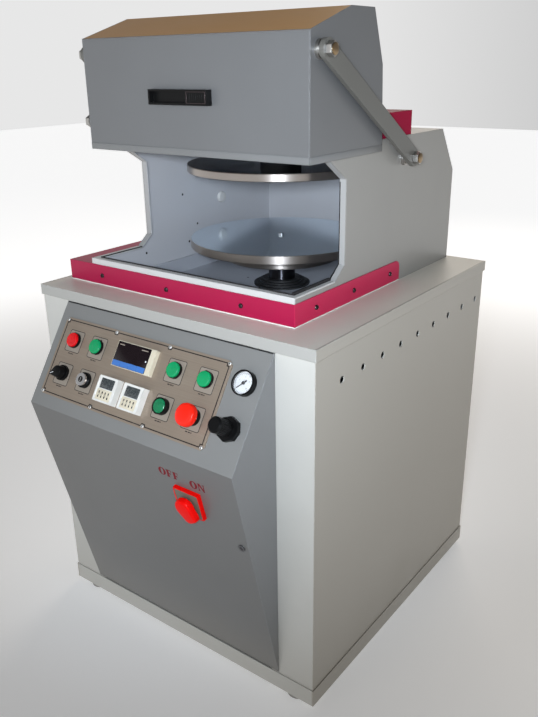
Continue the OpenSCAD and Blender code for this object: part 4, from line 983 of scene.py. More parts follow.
@dataclass
class ControlPanel:
    """Control plate on the door: its print, screws, meters and the caps of its buttons."""

    left: float = -236.0
    top: float = 31.0
    width: float = 420.0
    height: float = 156.0
    thick: float = 2.0
    rows: tuple[float, float] = (73.0, 139.0)
    columns: tuple[float, ...] = (-193.0, -129.0, 71.0, 142.0)
    screw: Screw = Screw(3.4, 1.8, Paints.ZINC)
    screw_in: Point2 = (6.0, 5.0)
    border_in: Point2 = (5.0, 4.0)
    border_w: float = 1.9
    notch: Point2 = (4.5, 5.0)
    field_h: float = 0.1
    ink_h: float = 0.15
    legend: Point3 = (41.0, 43.0, 4.0)
    legend_drop: float = 1.5
    legend_line: Point2 = (1.2, 0.2)
    strokes: tuple[Point2, ...] = ((-4.5, 5.0), (1.5, 4.5), (6.0, 2.2))
    stroke_h: float = 1.9
    stroke_drop: float = 26.0
    lamp: Cap = Cap(27.6, 6.0, 5.0)
    flush: Cap = Cap(26.0, 11.0, 1.0)
    cap_sunk: float = 1.7
    lens_rings: int = 4
    stem_r: float = 8.0
    stop_r: float = 20.0
    stop_low: float = 14.0
    stop_h: float = 15.0
    knob_r: float = 12.5
    knob_gap: float = 0.3
    pointer_h: float = 13.5
    pointer_tip: Point2 = (1.6, 19.0)
    pointer_spin: float = 120.0
    pointer_line: Point3 = (0.6, 6.0, 15.0)
    plug_r: float = 6.2
    plug_h: float = 7.05
    keyway: Point3 = (1.6, 7.5, 0.6)
    display: Point2 = (-29.5, 73.0)
    display_h: float = 9.0
    screen: Point3 = (83.0, 46.0, 1.5)
    screen_t: float = 0.6
    bar: Point3 = (20.0, 10.0, 0.6)
    bar_pitch: float = 20.4
    bar_drop: float = 17.5
    captions: tuple[Point2, ...] = ((-31.0, 12.0), (27.0, 16.0))
    caption_h: float = 1.8
    spot: Point2 = (37.0, 1.0)
    spot_r: float = 1.6
    timers: tuple[Point2, ...] = ((-58.0, 143.0), (6.0, 143.0))
    timer_h: float = 14.0
    timer_rim: Point3 = (48.0, 48.0, 3.0)
    timer_hole: Point3 = (42.0, 44.0, 2.0)
    window: Point3 = (33.0, 19.0, 1.0)
    wheel_plate: Point3 = (36.0, 20.0, 1.0)
    wheel_slot: Point3 = (2.6, 12.0, 0.5)
    wheel: Point3 = (1.6, 4.6, 0.4)
    wheel_x: float = -12.5
    wheel_pitch: float = 8.0
    timer_half: float = 10.5

    @property
    def middle(self) -> Point2:
        """Middle of the plate, as X and the distance down the face."""
        return self.left + self.width / 2, self.top + self.height / 2

    def _border(self) -> list[Point2]:
        """Printed border: a rectangle that steps inwards round each screw."""
        across, up = self.width / 2 - self.border_in[0], self.height / 2 - self.border_in[1]
        notch, deep = self.notch
        half: list[Point2] = [(-across + notch, -up + deep), (-across + notch, -up)]
        for x in (-across / 3, across / 3):
            half += [(x - notch, -up), (x - notch * 0.6, -up + deep * 0.8),
                     (x + notch * 0.6, -up + deep * 0.8), (x + notch, -up)]
        half += [(across - notch, -up), (across - notch, -up + deep),
                 (across, -up + deep), (across, up - deep)]
        return half + [(-x, -y) for x, y in half]

    def _print(self) -> None:
        """Border, legend fields and their marks."""
        shape = Shape()
        base, ink = self.thick, self.thick + self.ink_h
        shape.line(self._border(), self.border_w, base, ink, UPPER.at(*self.middle), Paints.LINE)
        outline = rectangle(*self.legend)
        line_w, line_h = self.legend_line
        for x in self.columns:
            for down in self.rows:
                place = UPPER.at(x, down + self.legend_drop)
                shape.slab(outline, base, base + self.field_h, place, Paints.LEGEND)
                shape.line(outline, line_w, base, base + line_h, place, Paints.FAINT)
                for shift, wide in self.strokes:
                    shape.slab(rectangle(wide, self.stroke_h), base, ink,
                               UPPER.at(x + shift, down + self.stroke_drop), Paints.FAINT)
        shape.piece("plate_print", "door", "panel_alloy")

    def _screws(self) -> None:
        """Screws that hold the plate."""
        shape = Shape()
        x, down = self.middle
        across, up = self.width / 2 - self.screw_in[0], self.height / 2 - self.screw_in[1]
        for dy in (-up, up):
            for dx in (-across, -across / 3, across / 3, across):
                self.screw.add(shape, UPPER.at(x + dx, down - dy, self.thick))
        shape.piece("plate_screws", "door", "chrome")

    def _stem(self, shape: Shape, place: Matrix, top: float, length: float) -> None:
        """Adds the black stem of a length, up to the height where the cap sits."""
        r, low = self.stem_r, top - length
        shape.lathe([(0, low), (r, low), (r, top), (0, top)], place, Paints.BLACK, 32)

    def _lens(self, name: str, kind: str, number: str, at: Point2, cap: Cap, paint: Paints) -> None:
        """Cap of a push button, with rings moulded under its dome.

        Args:
            name: Name of the piece.
            kind: Colour in the names of its solid, body and slot.
            number: Ending of the names of its solid and body.
            at: Place on the face.
            cap: Its size.
            paint: Its finish.
        """
        r = cap.width / 2
        seat = self.thick + cap.bezel - self.cap_sunk
        top = self.thick + cap.bezel + cap.rise
        profile = [(0, seat), (r, seat), (r, top - 2.2), (r - 0.5, top - 1.2), (r - 1.4, top - 0.6)]
        for ring in range(self.lens_rings):
            out = (r - 1.8) * (1 - ring / (self.lens_rings + 0.5))
            crown = top - 0.45 + 0.45 * (1 - (out / r) ** 2)
            profile += [(out, crown), (out - 0.5, crown - 0.18), (out - 1.0, crown + 0.03)]
        profile += [(0, top + 0.05)]
        shape = Shape()
        shape.lathe(profile, UPPER.at(*at), paint, 48)
        self._stem(shape, UPPER.at(*at), seat, 16)
        shape.piece(name, f"{kind}_push{number}", f"{kind}_plastic", [f"{kind}_button{number}"])

    def _buttons(self) -> None:
        """Caps of the push buttons and the emergency stop."""
        a, b, c, d = self.columns
        upper, lower = self.rows
        self._lens("red_lens_cap", "red", "", (a, upper), self.lamp, Paints.RED_LENS)
        for number, x in enumerate((b, c, d), 1):
            self._lens(f"green_lens_cap_{number}", "green", f"_{number}", (x, upper), self.lamp,
                       Paints.GREEN_LENS)
        self._lens("green_flush_cap", "green", "_4", (c, lower), self.flush, Paints.GREEN_CAP)
        low, r = self.thick + self.stop_low, self.stop_r
        high = low + self.stop_h
        place = UPPER.at(d, lower)
        shape = Shape()
        shape.lathe([(0, low), (r - 6, low), (r - 1.5, low + 0.6), (r, low + 2.2), (r, high - 6.0),
                     (r - 0.6, high - 3.4), (r - 2.2, high - 1.6), (r - 5, high - 0.7), (r - 9, high - 0.2),
                     (0, high)], place, Paints.ORANGE, 64)
        self._stem(shape, place, low, self.stop_low)
        shape.piece("stop_mushroom", "stop_push", "switch_plastic", ["stop_button"])

    def _selector(self) -> None:
        """Pointer knob of the selector and the plug of the key switch."""
        low = self.thick + self.lamp.bezel + self.knob_gap
        x, down, r = self.columns[0], self.rows[1], self.knob_r
        place, spun = UPPER.at(x, down), UPPER.at(x, down, 0, self.pointer_spin)
        tip_x, tip_y = self.pointer_tip
        shape = Shape()
        shape.lathe([(0, low), (r - 0.3, low), (r, low + 0.4), (r, low + 3.8), (r - 0.9, low + 5.0),
                     (0, low + 5)], place, Paints.BLACK)
        shape.slab(arc(r - 0.3, range(-220, 41, 10)) + [(tip_x, tip_y), (-tip_x, tip_y)],
                   low + 4, low + self.pointer_h, spun, Paints.BLACK, 1.5, 3, 0.88)
        half, near, far = self.pointer_line
        shape.slab([(-half, near), (half, near), (half, far), (-half, far)],
                   low + self.pointer_h - 0.1, low + self.pointer_h + 0.1, spun, Paints.DIAL)
        shape.piece("selector_pointer", "selector", "black_plastic", ["selector_knob"])
        shape = Shape()
        place, r, high = UPPER.at(self.columns[1], down), self.plug_r, low + self.plug_h
        shape.lathe([(0, high), (r - 0.6, high), (r, high - 0.65), (r, low + 1), (0, low + 1)], place,
                    Paints.BLACK)
        shape.slab(rectangle(*self.keyway), high - 0.05, high + 0.15, place, Paints.CHROME)
        shape.piece("key_plug", "key", "black_plastic")

    def _display(self) -> None:
        """Screen of the speed display, left of the case's plain margin."""
        shape = Shape()
        x, down = self.display
        low = self.thick + self.display_h
        high = low + self.screen_t
        shape.slab(rectangle(*self.screen), low, high, UPPER.at(x, down), Paints.SCREEN, 0.3)
        for part in range(4):
            shape.slab(rectangle(*self.bar), high, high + 0.15,
                       UPPER.at(x + (part - 1.5) * self.bar_pitch, down + self.bar_drop), Paints.BLUE)
        shape.lathe([(0, high - 0.1), (self.spot_r, high - 0.1), (self.spot_r, high + 0.2), (0, high + 0.4)],
                    UPPER.at(x + self.spot[0], down + self.spot[1]), Paints.DIAL, 20)
        for shift, wide in self.captions:
            shape.slab(rectangle(wide, self.caption_h), high, high + 0.1,
                       UPPER.at(x + shift, down - self.bar_drop), Paints.LEGEND)
        shape.piece("display_screen", "door", "meter_plastic")

    def _timers(self) -> None:
        """Rims, windows and setting wheels of the timers."""
        shape = Shape()
        face = self.thick + self.timer_h
        level = face + 0.6
        for x, down in self.timers:
            above, below = down - self.timer_half, down + self.timer_half
            shape.ring(rectangle(*self.timer_rim), rectangle(*self.timer_hole), face, face + 1.0,
                       UPPER.at(x, down), Paints.WHITE)
            shape.slab(rectangle(*self.window), face, face + 0.5, UPPER.at(x, above), Paints.CRYSTAL, 0.2)
            shape.slab(rectangle(*self.wheel_plate), face, level, UPPER.at(x - 0.5, below), Paints.IVORY, 0.3)
            for number in range(4):
                place = UPPER.at(x + self.wheel_x + number * self.wheel_pitch, below)
                # Dark slot under each wheel: painted shade.
                shape.slab(rectangle(*self.wheel_slot), level, level + 0.15, place, Paints.LINE)
                shape.slab(rectangle(*self.wheel), level, level + 0.35, place, Paints.IVORY, 0.2)
        shape.piece("timer_faces", "door", "meter_plastic")

    def build(self) -> None:
        """Makes every piece on the plate."""
        self._print()
        self._screws()
        self._buttons()
        self._selector()
        self._display()
        self._timers()


@dataclass
class AirGauge:
    """Dial and glass of the air gauge beside the control plate."""

    x: float = 220.0
    down: float = 61.0
    dial_h: float = 6.0
    dial_t: float = 0.3
    dial_r: float = 18.9
    hub_r: float = 1.7
    rim_h: float = 11.0
    sweep: float = 270.0
    steps: int = 40
    full_scale: int = 10
    tick_in: float = 2.2
    major: Point2 = (0.5, 2.6)
    minor: Point2 = (0.28, 1.5)
    ink_h: float = 0.1
    circle_in: Point2 = (1.6, 1.9)
    figure_h: float = 3.4
    figure_in: float = 8.0

    def _dial(self) -> None:
        """Dial with its scale."""
        shape = Shape()
        flat, r, level = UPPER.at(self.x, self.down), self.dial_r, self.dial_h + self.dial_t
        shape.lathe([(self.hub_r, self.dial_h), (r, self.dial_h), (r, level), (self.hub_r, level),
                     (self.hub_r, self.dial_h)], flat, Paints.DIAL, 64)
        for step in range(self.steps + 1):
            angle = self.sweep / 2 - step * self.sweep / self.steps
            wide, long = self.major if step % 5 == 0 else self.minor
            place = UPPER.at(self.x, self.down, 0, angle) @ move(0, r - self.tick_in - long / 2)
            shape.slab(rectangle(wide, long), level, level + self.ink_h, place, Paints.TICK)
            if step % 10 == 0:
                radians, out = math.radians(angle), r - self.figure_in
                spot = move(-out * math.sin(radians), out * math.cos(radians), level + 0.06)
                figure = str(step * self.full_scale // self.steps)
                shape.numeral(figure, self.figure_h, flat @ spot, Paints.TICK)
        outer, inner = (circle(r - inset, 64) for inset in self.circle_in)
        shape.ring(outer, inner, level, level + self.ink_h, flat, Paints.TICK)
        shape.piece("gauge_dial", "door", "black_plastic")

    def _glass(self) -> None:
        """Domed glass inside the rim."""
        shape = Shape()
        r, rim = self.dial_r, self.rim_h
        shape.lathe([(0, rim - 2.2), (r, rim - 2.2), (r, rim - 1.2), (r * 0.6, rim - 0.7), (0, rim - 0.5)],
                    UPPER.at(self.x, self.down), Paints.CLEAR, 64)
        shape.piece("gauge_glass", "door", "black_plastic")

    def build(self) -> None:
        """Makes the gauge's pieces."""
        self._dial()
        self._glass()


# Straight strokes of the seriffed capitals: left edge, foot, width and height
LETTER_BARS: dict[str, tuple[tuple[float, float, float, float], ...]] = {
    "O": (),
    "F": ((1.1, 0, 3.6, 12), (0, 0, 5.4, 0.8), (0, 11.2, 9.0, 0.8), (3.7, 5.7, 3.6, 0.8),
          (8.2, 8.8, 0.8, 2.4), (6.7, 4.6, 0.7, 3.0)),
    "N": ((1.0, 0, 1.3, 12), (9.2, 0, 1.3, 12), (0, 0, 3.4, 0.8), (8.1, 11.2, 3.4, 0.8), (0, 11.2, 3.0, 0.8)),
}
# Distance from the start of a capital to the next one
LETTER_STEP = {"O": 18.0, "F": 15.5, "N": 18.0}


@dataclass
class MainSwitch:
    """Main switch on the door's lower face, with its ON and OFF marks."""

    x: float = 140.0
    down: float = 97.0
    plate_w: float = 57.0
    plate_t: float = 7.0
    plate_r: float = 4.0
    field_in: float = 3.6
    screw: Screw = Screw(2.2, 1.4, Paints.ZINC)
    screw_out: float = 20.5
    handle_d: float = 38.0
    handle_h: float = 24.0
    handle_spin: float = 32.0
    collar_r: float = 16.0
    shaft_r: float = 6.0
    shaft_low: float = -26.0
    letter_scale: float = 1.36
    letter_t: float = 0.2
    words: tuple[tuple[str, float, float], ...] = (("OFF", 78.5, 55.5), ("ON", 150.0, 59.5))

    def _handle(self) -> None:
        """Handle: a round end that tapers to a blunt pointer, with soft edges."""
        half, low = self.handle_d / 2, self.plate_t + 3
        left = [(-0.99, -0.1), (-0.84, -1.05), (-0.74, -1.38), (-0.58, -1.58), (-0.3, -1.7)]
        pointer = [(half * x, half * y) for x, y in left + [(-x, y) for x, y in reversed(left)]]
        shape = Shape()
        place = LOWER.at(self.x, self.down, 0, self.handle_spin)
        shape.lathe([(0, self.shaft_low), (self.shaft_r, self.shaft_low), (self.shaft_r, low - 2),
                     (self.collar_r, low), (self.collar_r, low + 4), (0, low + 4)], place, Paints.SIGNAL)
        shape.slab(arc(half, range(3, 178, 6)) + pointer, low + 3, self.handle_h, place, Paints.SIGNAL,
                   4.5, 5, 0.96)
        shape.piece("switch_lever", "switch", "switch_plastic", ["switch_handle"])

    def _plate(self) -> None:
        """Corner screws and inner field of the switch's plate."""
        shape = Shape()
        place, low = LOWER.at(self.x, self.down), self.plate_t - 0.2
        field_w = self.plate_w - self.field_in
        inner = rectangle(field_w, field_w, self.plate_r - 1)
        shape.ring(rectangle(self.plate_w, self.plate_w, self.plate_r), inner, low, self.plate_t + 0.8, place,
                   Paints.SIGNAL)
        shape.slab(inner, low, self.plate_t + 0.3, place, Paints.FIELD)
        for dx in (-self.screw_out, self.screw_out):
            for dy in (-self.screw_out, self.screw_out):
                self.screw.add(shape, LOWER.at(self.x + dx, self.down + dy, self.plate_t - 3))
        shape.piece("switch_frame", "door", "switch_plastic")

    def _letter(self, shape: Shape, letter: str, place: Matrix) -> None:
        """Adds one seriffed capital, 12 mm high.

        Args:
            shape: Shape that takes it.
            letter: The capital.
            place: Its lower left corner.
        """
        thick = self.letter_t
        for x, y, w, h in LETTER_BARS[letter]:
            shape.slab(rectangle(w, h), 0, thick, place @ move(x + w / 2, y + h / 2), Paints.LETTER)
        if letter == "O":
            shape.ring(circle(6.3, 36), circle(5.4, 36, 0.44), 0, thick, place @ move(5.9, 6), Paints.LETTER)
        if letter == "N":
            diagonal = [(0.6, 12), (8.6, 0), (10.5, 0), (10.5, 1.2), (4.2, 12)]
            shape.slab(diagonal, 0, thick, place, Paints.LETTER)

    def _marks(self) -> None:
        """The marks OFF and ON above the switch."""
        shape = Shape()
        size = Matrix.Diagonal((self.letter_scale, self.letter_scale, 1, 1))
        for word, x, down in self.words:
            for letter in word:
                self._letter(shape, letter, LOWER.at(x, down) @ size)
                x += LETTER_STEP[letter]
        shape.piece("switch_marks", "door", "switch_plastic")

    def build(self) -> None:
        """Makes the switch's pieces."""
        self._handle()
        self._plate()
        self._marks()


@dataclass
class Hood:
    """Hood: its hems, the trim of its handle and the caps of its pivots."""

    front_y: float = 100.0
    low_z: float = TOP_Z + 260.5
    half_w: float = 254.0
    depth: float = 231.0
    hem_h: float = 12.0
    hem_t: float = 0.7
    latch_x: float = 32.5
    latch_y: float = 87.0
    latch_z: float = 98.0
    latch_frame: Point3 = (42.8, 19.2, 1.0)
    latch_hole: Point3 = (41.0, 17.4, 0.8)
    rib: Point3 = (1.2, 13.0, 0.4)
    rib_pitch: float = 4.4
    rib_count: int = 7
    pin_x: float = 282.0
    hood_pins: tuple[Point3, ...] = ((124.0, 429.5, 1), (124.0, 429.5, -1), (124.0, 309.5, -1))
    house_pins: tuple[Point3, ...] = ((428.0, 240.5, 1), (428.0, 240.5, -1), (428.0, 120.5, -1))
    washer: tuple[Point2, ...] = ((0, 0), (8.5, 0), (9.2, 1.2), (6.5, 2.2), (0, 2.2))

    def _hems(self) -> None:
        """Folded hems along the lower edges."""
        shape = Shape()
        z = self.low_z + self.hem_h / 2
        shape.slab(rectangle(2 * self.half_w, self.hem_h), 0, self.hem_t,
                   facing(0, self.front_y, z, Way.FRONT), Paints.HEM, 0.4)
        for side in (-1, 1):
            place = facing(side * self.half_w, self.front_y + self.depth / 2 - 0.5, z, Way((side, 0, 0)))
            shape.slab(rectangle(self.hem_h, self.depth - 2), 0, self.hem_t, place, Paints.HEM, 0.4)
        shape.piece("hood_hems", "hood", "hood_paint")

    def _handle(self) -> None:
        """Dark steel frame round the latch, and the paddle's ribs."""
        shape = Shape()
        place = facing(self.latch_x, self.latch_y, self.low_z + self.latch_z, Way.FRONT)
        shape.ring(rectangle(*self.latch_frame), rectangle(*self.latch_hole), -0.2, 0.5, place, Paints.SCREW)
        shape.piece("latch_frame", "hood", "chrome")
        ribs = Shape()
        for step in range(self.rib_count):
            shift = (step - (self.rib_count - 1) / 2) * self.rib_pitch
            ribs.slab(rectangle(*self.rib), -0.5, 0.1, place @ move(shift), Paints.BLACK, 0.2)
        ribs.piece("latch_ribs", "latch", "black_plastic")

    def _pivots(self) -> None:
        """Washers on the pivots of the arms; a pin has its depth, its height and its side."""
        for name, body, pins in (("hood_pivot_washers", "hood", self.hood_pins),
                                 ("house_pivot_washers", "machine", self.house_pins)):
            shape = Shape()
            for y, z, side in pins:
                shape.lathe(self.washer, facing(side * self.pin_x, y, TOP_Z + z, Way((side, 0, 0))),
                            Paints.BOLT, 32)
            shape.piece(name, body, "bare_steel")

    def build(self) -> None:
        """Makes the hood's pieces."""
        self._hems()
        self._handle()
        self._pivots()


@dataclass
class Housing:
    """Casting housing: the skirt's screws and gasket, the opening's strip and the wall's bolts."""

    half_w: float = 248.0
    wall_t: float = 3.0
    skirt_y: float = 64.0
    skirt_t: float = 2.0
    ledge_w: float = 66.0
    screw: Screw = Screw(4.6, 3.0, Paints.SCREW)
    front_screws: tuple[float, ...] = (-218.5, -42.5, 136.0)
    front_screw_z: float = TOP_Z + 20.0
    side_screws: tuple[float, ...] = (128.0, 252.6, 389.0)
    side_screw_z: float = TOP_Z + 20.7
    gasket: float = 2.0
    gasket_in: float = 1.2
    gasket_front: Point2 = (-32.0, 563.6)
    gasket_side: Point2 = (246.5, 362.0)
    lip_w: float = 14.0
    lip_y: float = 77.6
    lip_z: float = 52.0
    strip_w: float = 2.4
    strip_h: float = 2.0
    foot_w: float = 5.0
    chin: Point2 = (190.0, 52.0)
    notch: Point2 = (222.0, 74.0)
    notch_high: float = 219.0
    notch_w: float = 1.4
    bolt: Point2 = (465.5, 117.4)
    bolt_r: float = 12.5
    wall_holes: tuple[Point2, ...] = ((335.6, 140.4), (380.1, 68.5), (349.7, 32.3), (213.5, 32.2))
    floor_hole: Point3 = (-87.0, 364.0, TOP_Z - 32.0)
    hole: tuple[Point2, ...] = ((0, 0), (2.6, 0), (2.6, 0.3), (2.1, 0.35), (0, 0.1))

    def _skirt_screws(self) -> None:
        """Socket screws round the skirt."""
        shape = Shape()
        for x in self.front_screws:
            self.screw.add(shape, facing(x, self.skirt_y, self.front_screw_z, Way.FRONT))
        for y in self.side_screws:
            for x, way in ((self.half_w + self.skirt_t, Way.RIGHT), (-self.half_w - self.ledge_w, Way.LEFT)):
                self.screw.add(shape, facing(x, y, self.side_screw_z, way))
        shape.piece("skirt_screws", "machine", "bare_steel")

    def _gasket(self) -> None:
        """Pale gasket under the skirt."""
        shape = Shape()
        thick, inset = self.gasket, self.gasket_in
        (front_x, front_w), (side_y, side_d) = self.gasket_front, self.gasket_side
        for x, y, w, d in ((front_x, self.skirt_y + inset, front_w, thick),
                           (self.half_w + self.skirt_t - inset, side_y, thick, side_d),
                           (-self.half_w - self.ledge_w + inset, side_y, thick, side_d)):
            shape.slab(rectangle(w, d), 0.0, thick, COUNTER @ move(x, y), Paints.WHITE)
        shape.piece("skirt_gasket", "machine", "cabinet_paint")

    def _seal(self) -> None:
        """Rubber strip round the front opening: thin in front and up the right wall, thick at its foot; up the right
        wall and at its foot it is partly painted shadow of the flange.
        """
        shape = Shape()
        inner, front, strip = self.half_w - self.lip_w, self.lip_y, self.strip_w
        (chin_y, chin_z), (notch_y, notch_z) = self.chin, self.notch
        middle, long = (front + chin_y) / 2, chin_y - front
        for x, y, w, d, high in (
                (0.0, front + strip / 2, 2 * inner, strip, self.strip_h),
                (-inner + strip / 2, middle, strip, long, self.strip_h),
                # Thick foot along the lip's right part: seal and painted shadow.
                (inner + self.foot_w / 2, middle, self.foot_w, long, self.foot_w)):
            shape.slab(rectangle(w, d), self.lip_z, self.lip_z + high, COUNTER @ move(x, y),
                       Paints.RUBBER, 0.5)
        # Strip along the right chamfer and up the right wall: partly painted shadow at the flange's inner edge.
        upright = Matrix(((0, 0, 1, 0), (1, 0, 0, 0), (0, 1, 0, 0), (0, 0, 0, 1)))
        back_y = notch_y + self.notch_w
        shape.slab([(chin_y, chin_z), (notch_y, notch_z), (notch_y, self.notch_high),
                    (back_y, self.notch_high), (back_y, notch_z - 1), (notch_y + 4, notch_z - 3),
                    (chin_y + 5, chin_z)],
                   0.0, self.strip_h, COUNTER @ move(inner) @ upright, Paints.RUBBER)
        shape.piece("opening_strip", "machine", "rubber", ["opening_seal"])

    def _wall_bolts(self) -> None:
        """Bolt head on the inner left wall, and dark discs on that wall and the tray's floor that paint the shade of
        small holes.
        """
        shape = Shape()
        wall_x, r = self.wall_t - self.half_w, self.bolt_r
        bolt_y, bolt_z = self.bolt
        shape.lathe([(0, 0), (r - 0.5, 0), (r, 0.6), (r, 5.0), (r - 1.5, 7), (5, 7.6), (0, 7.6)],
                    facing(wall_x, bolt_y, TOP_Z + bolt_z, Way.RIGHT), Paints.TRAY, 32)
        # Holes: shallow dark discs, painted shade.
        for y, z in self.wall_holes:
            shape.lathe(self.hole, facing(wall_x, y, TOP_Z + z, Way.RIGHT), Paints.TICK, 20)
        shape.lathe(self.hole, facing(*self.floor_hole, Way.UP), Paints.TICK, 20)
        shape.piece("wall_bolts", "machine", "housing_paint")

    def build(self) -> None:
        """Makes the housing's pieces."""
        self._skirt_screws()
        self._gasket()
        self._seal()
        self._wall_bolts()


@dataclass
class Turntable:
    """The two mould plates, turned from steel."""

    plate_r: float = 191.0
    edge: float = 1.2
    face_z: float = TOP_Z + 72.5
    rim_t: float = 17.0
    hub_r: float = 120.0
    hub_t: float = 28.0
    pin_r: float = 7.0
    pin_h: float = 5.0
    pin_edge: float = 1.5
    upper_z: float = TOP_Z + 209.0
    upper_t: float = 15.0
    shaft_r: float = 30.0
    pour_r: float = 22.0
    mouth_r: float = 42.0
    mouth_z: float = TOP_Z + 277.3
    mouth_h: float = 22.0
    mouth_rim: float = 3.0
    mouth_floor: float = 4.0

    def _lower(self) -> None:
        """Lower plate with the hub under it and its centring pin."""
        r, edge, top, pin = self.plate_r, self.edge, self.face_z, self.pin_r
        under = top - self.rim_t
        hub_low, pin_top = under - self.hub_t, top + self.pin_h
        shape = Shape()
        shape.turned([
            (Paints.PLATE, [(0, hub_low), (self.hub_r - edge, hub_low)]),
            (Paints.RIM, [(self.hub_r, hub_low + edge), (self.hub_r, under)]),
            (Paints.PLATE, [(r - edge, under)]),
            (Paints.RIM, [(r, under + edge), (r, top - edge), (r - edge, top)]),
            (Paints.PLATE, [(r - 2 * edge, top), (pin + 0.6, top)]),
            (Paints.CHROME, [(pin, top + 0.6), (pin, pin_top - self.pin_edge), (pin - self.pin_edge, pin_top),
                             (0, pin_top)])],
            move(0, AXIS_Y - ORIGIN_Y))
        shape.piece("lower_mould_plate", "turntable", "plate_steel", ["lower_plate"])

    def _upper(self) -> None:
        """Upper plate with its hollow shaft and pouring mouth."""
        r, edge, low = self.plate_r, self.edge, self.upper_z
        high = low + self.upper_t
        mouth_top = self.mouth_z + self.mouth_h
        shape = Shape()
        shape.turned([
            (Paints.PLATE, [(self.pour_r, low), (r - edge, low)]),
            (Paints.RIM, [(r, low + edge), (r, high - edge), (r - edge, high)]),
            # Top face: near black, painted reflection of the dark hood.
            (Paints.DARK_TOP, [(self.shaft_r, high)]),
            (Paints.RIM, [(self.shaft_r, self.mouth_z), (self.mouth_r, self.mouth_z),
                          (self.mouth_r, mouth_top), (self.mouth_r - self.mouth_rim, mouth_top)]),
            (Paints.PLATE, [(self.pour_r, self.mouth_z + self.mouth_floor), (self.pour_r, low)])],
            move(0, AXIS_Y - ORIGIN_Y))
        shape.piece("upper_mould_plate", "upper_turntable", "plate_steel", ["upper_plate"])

    def build(self) -> None:
        """Makes both plates."""
        self._lower()
        self._upper()


@dataclass
class Cabinet:
    """Cabinet: the painted shadow strip along the door's top, the lock's keyway and the screws of the back panel."""

    # Painted shadow in the gap along the door's top edge: its length and width, drop and thickness.
    strip: Point2 = (504.0, 2.4)
    strip_down: float = 1.6
    strip_t: float = 0.6
    lock_x: float = 238.0
    lock_down: float = 163.0
    lock_h: float = 2.0
    lock_spin: float = -30.0
    keyway: Point3 = (7.0, 3.0, 1.2)
    screw: Screw = Screw(4.2, 2.4, Paints.ZINC)
    back_y: float = 665.0
    columns: tuple[float, ...] = (-270.0, -90.0, 90.0, 270.0)
    outer_rows: tuple[float, ...] = (66.0, 690.0)
    inner_rows: tuple[float, ...] = (270.0, 480.0)

    def _door_gap_shadow(self) -> None:
        """Dark strip along the door's top edge, where it meets the countertop: painted shadow of the gap, in the black
        rubber finish.
        """
        shape = Shape()
        shape.slab(rectangle(*self.strip), 0.0, self.strip_t, UPPER.at(0.0, self.strip_down), Paints.RUBBER)
        shape.piece("door_top_gap_shadow", "door", "rubber")

    def _keyway(self) -> None:
        """Slot in the door's lock: a dark slab, painted shade in the keyway."""
        shape = Shape()
        shape.slab(rectangle(*self.keyway), self.lock_h - 0.2, self.lock_h + 0.1,
                   LOWER.at(self.lock_x, self.lock_down, 0, self.lock_spin), Paints.TICK)
        shape.piece("lock_keyway", "lock", "bare_steel")

    def _back_screws(self) -> None:
        """Screws round the back panel: whole rows above and below, and two rows at its edges only."""
        shape = Shape()
        places = [(x, z) for x in self.columns for z in self.outer_rows]
        places += [(x, z) for z in self.inner_rows for x in (self.columns[0], self.columns[-1])]
        for x, z in places:
            self.screw.add(shape, facing(x, self.back_y, z, Way.REAR))
        shape.piece("back_screws", "machine", "cabinet_paint")

    def build(self) -> None:
        """Makes the cabinet's pieces."""
        self._door_gap_shadow()
        self._keyway()
        self._back_screws()


NODE_PAINTS: dict[Paints, tuple[str, ...]] = {
    Paints.CABINET: ("base_frame", "side_panel_left", "side_panel_right", "back_panel"),
    Paints.CAP: ("countertop",),
    Paints.DOOR: ("door_shell",),
    Paints.HOOD: ("hood_front", "hood_side_left", "hood_side_right"),
    Paints.ROOF: ("hood_roof",),
    Paints.HOUSING: ("housing_left_wall", "housing_right_wall", "housing_shell"),
    Paints.TRAY: ("tray",),
    Paints.ARM: ("right_arm", "left_arm", "lower_arm"),
    Paints.CRIMSON: ("skirt",),
    Paints.COVER: ("bearing_cover",),
    Paints.RUBBER: ("opening_seal", "shaft_seal", "drive_belt"),
    Paints.FOOT: ("feet",),
    Paints.PLATE: ("lower_plate", "upper_plate"),
    Paints.BLUED: ("spindle",),
    Paints.STEEL: ("cylinder_rod", "hinge_pins", "door_hinges", "drive_pulley", "motor_pulley"),
    Paints.IRON: ("upper_bearing", "drive_frame"),
    Paints.MOTOR: ("motor",),
    Paints.ALLOY: ("air_cylinder", "valve_block"),
    Paints.BRASS: ("air_inlet", "cable_gland"),
    Paints.BLACK: ("inverter", "hood_handle", "hood_latch", "button_bezels", "gauge_body", "gauge_needle",
                   "regulator_body", "regulator_knob", "selector_knob"),
    Paints.PANEL: ("control_plate",),
    Paints.IVORY: ("speed_display",),
    Paints.WHITE: ("timers",),
    Paints.RED_LENS: ("red_button",),
    Paints.GREEN_LENS: ("green_button_1", "green_button_2", "green_button_3"),
    Paints.GREEN_CAP: ("green_button_4",),
    Paints.ORANGE: ("stop_button",),
    Paints.SIGNAL: ("switch_plate", "switch_handle"),
    Paints.CHROME: ("key_switch",),
    Paints.LOCK: ("door_lock",),
}


def paint_solids() -> None:
    """Gives every solid its finish."""
    for paint, names in NODE_PAINTS.items():
        for name in names:
            slots = frame["nodes"][name].data.materials
            slots.clear()
            slots.append(paint.value.material())
            log.info("solid %s: %s", name, paint.value.name)


@dataclass(frozen=True)
class Lamp:
    """A light: its name, place and aim in metres, the size of its source, watts and colour."""

    name: str
    place: Point3
    aim: Point3
    size: float
    power: float
    colour: Colour = (1.0, 1.0, 1.0)


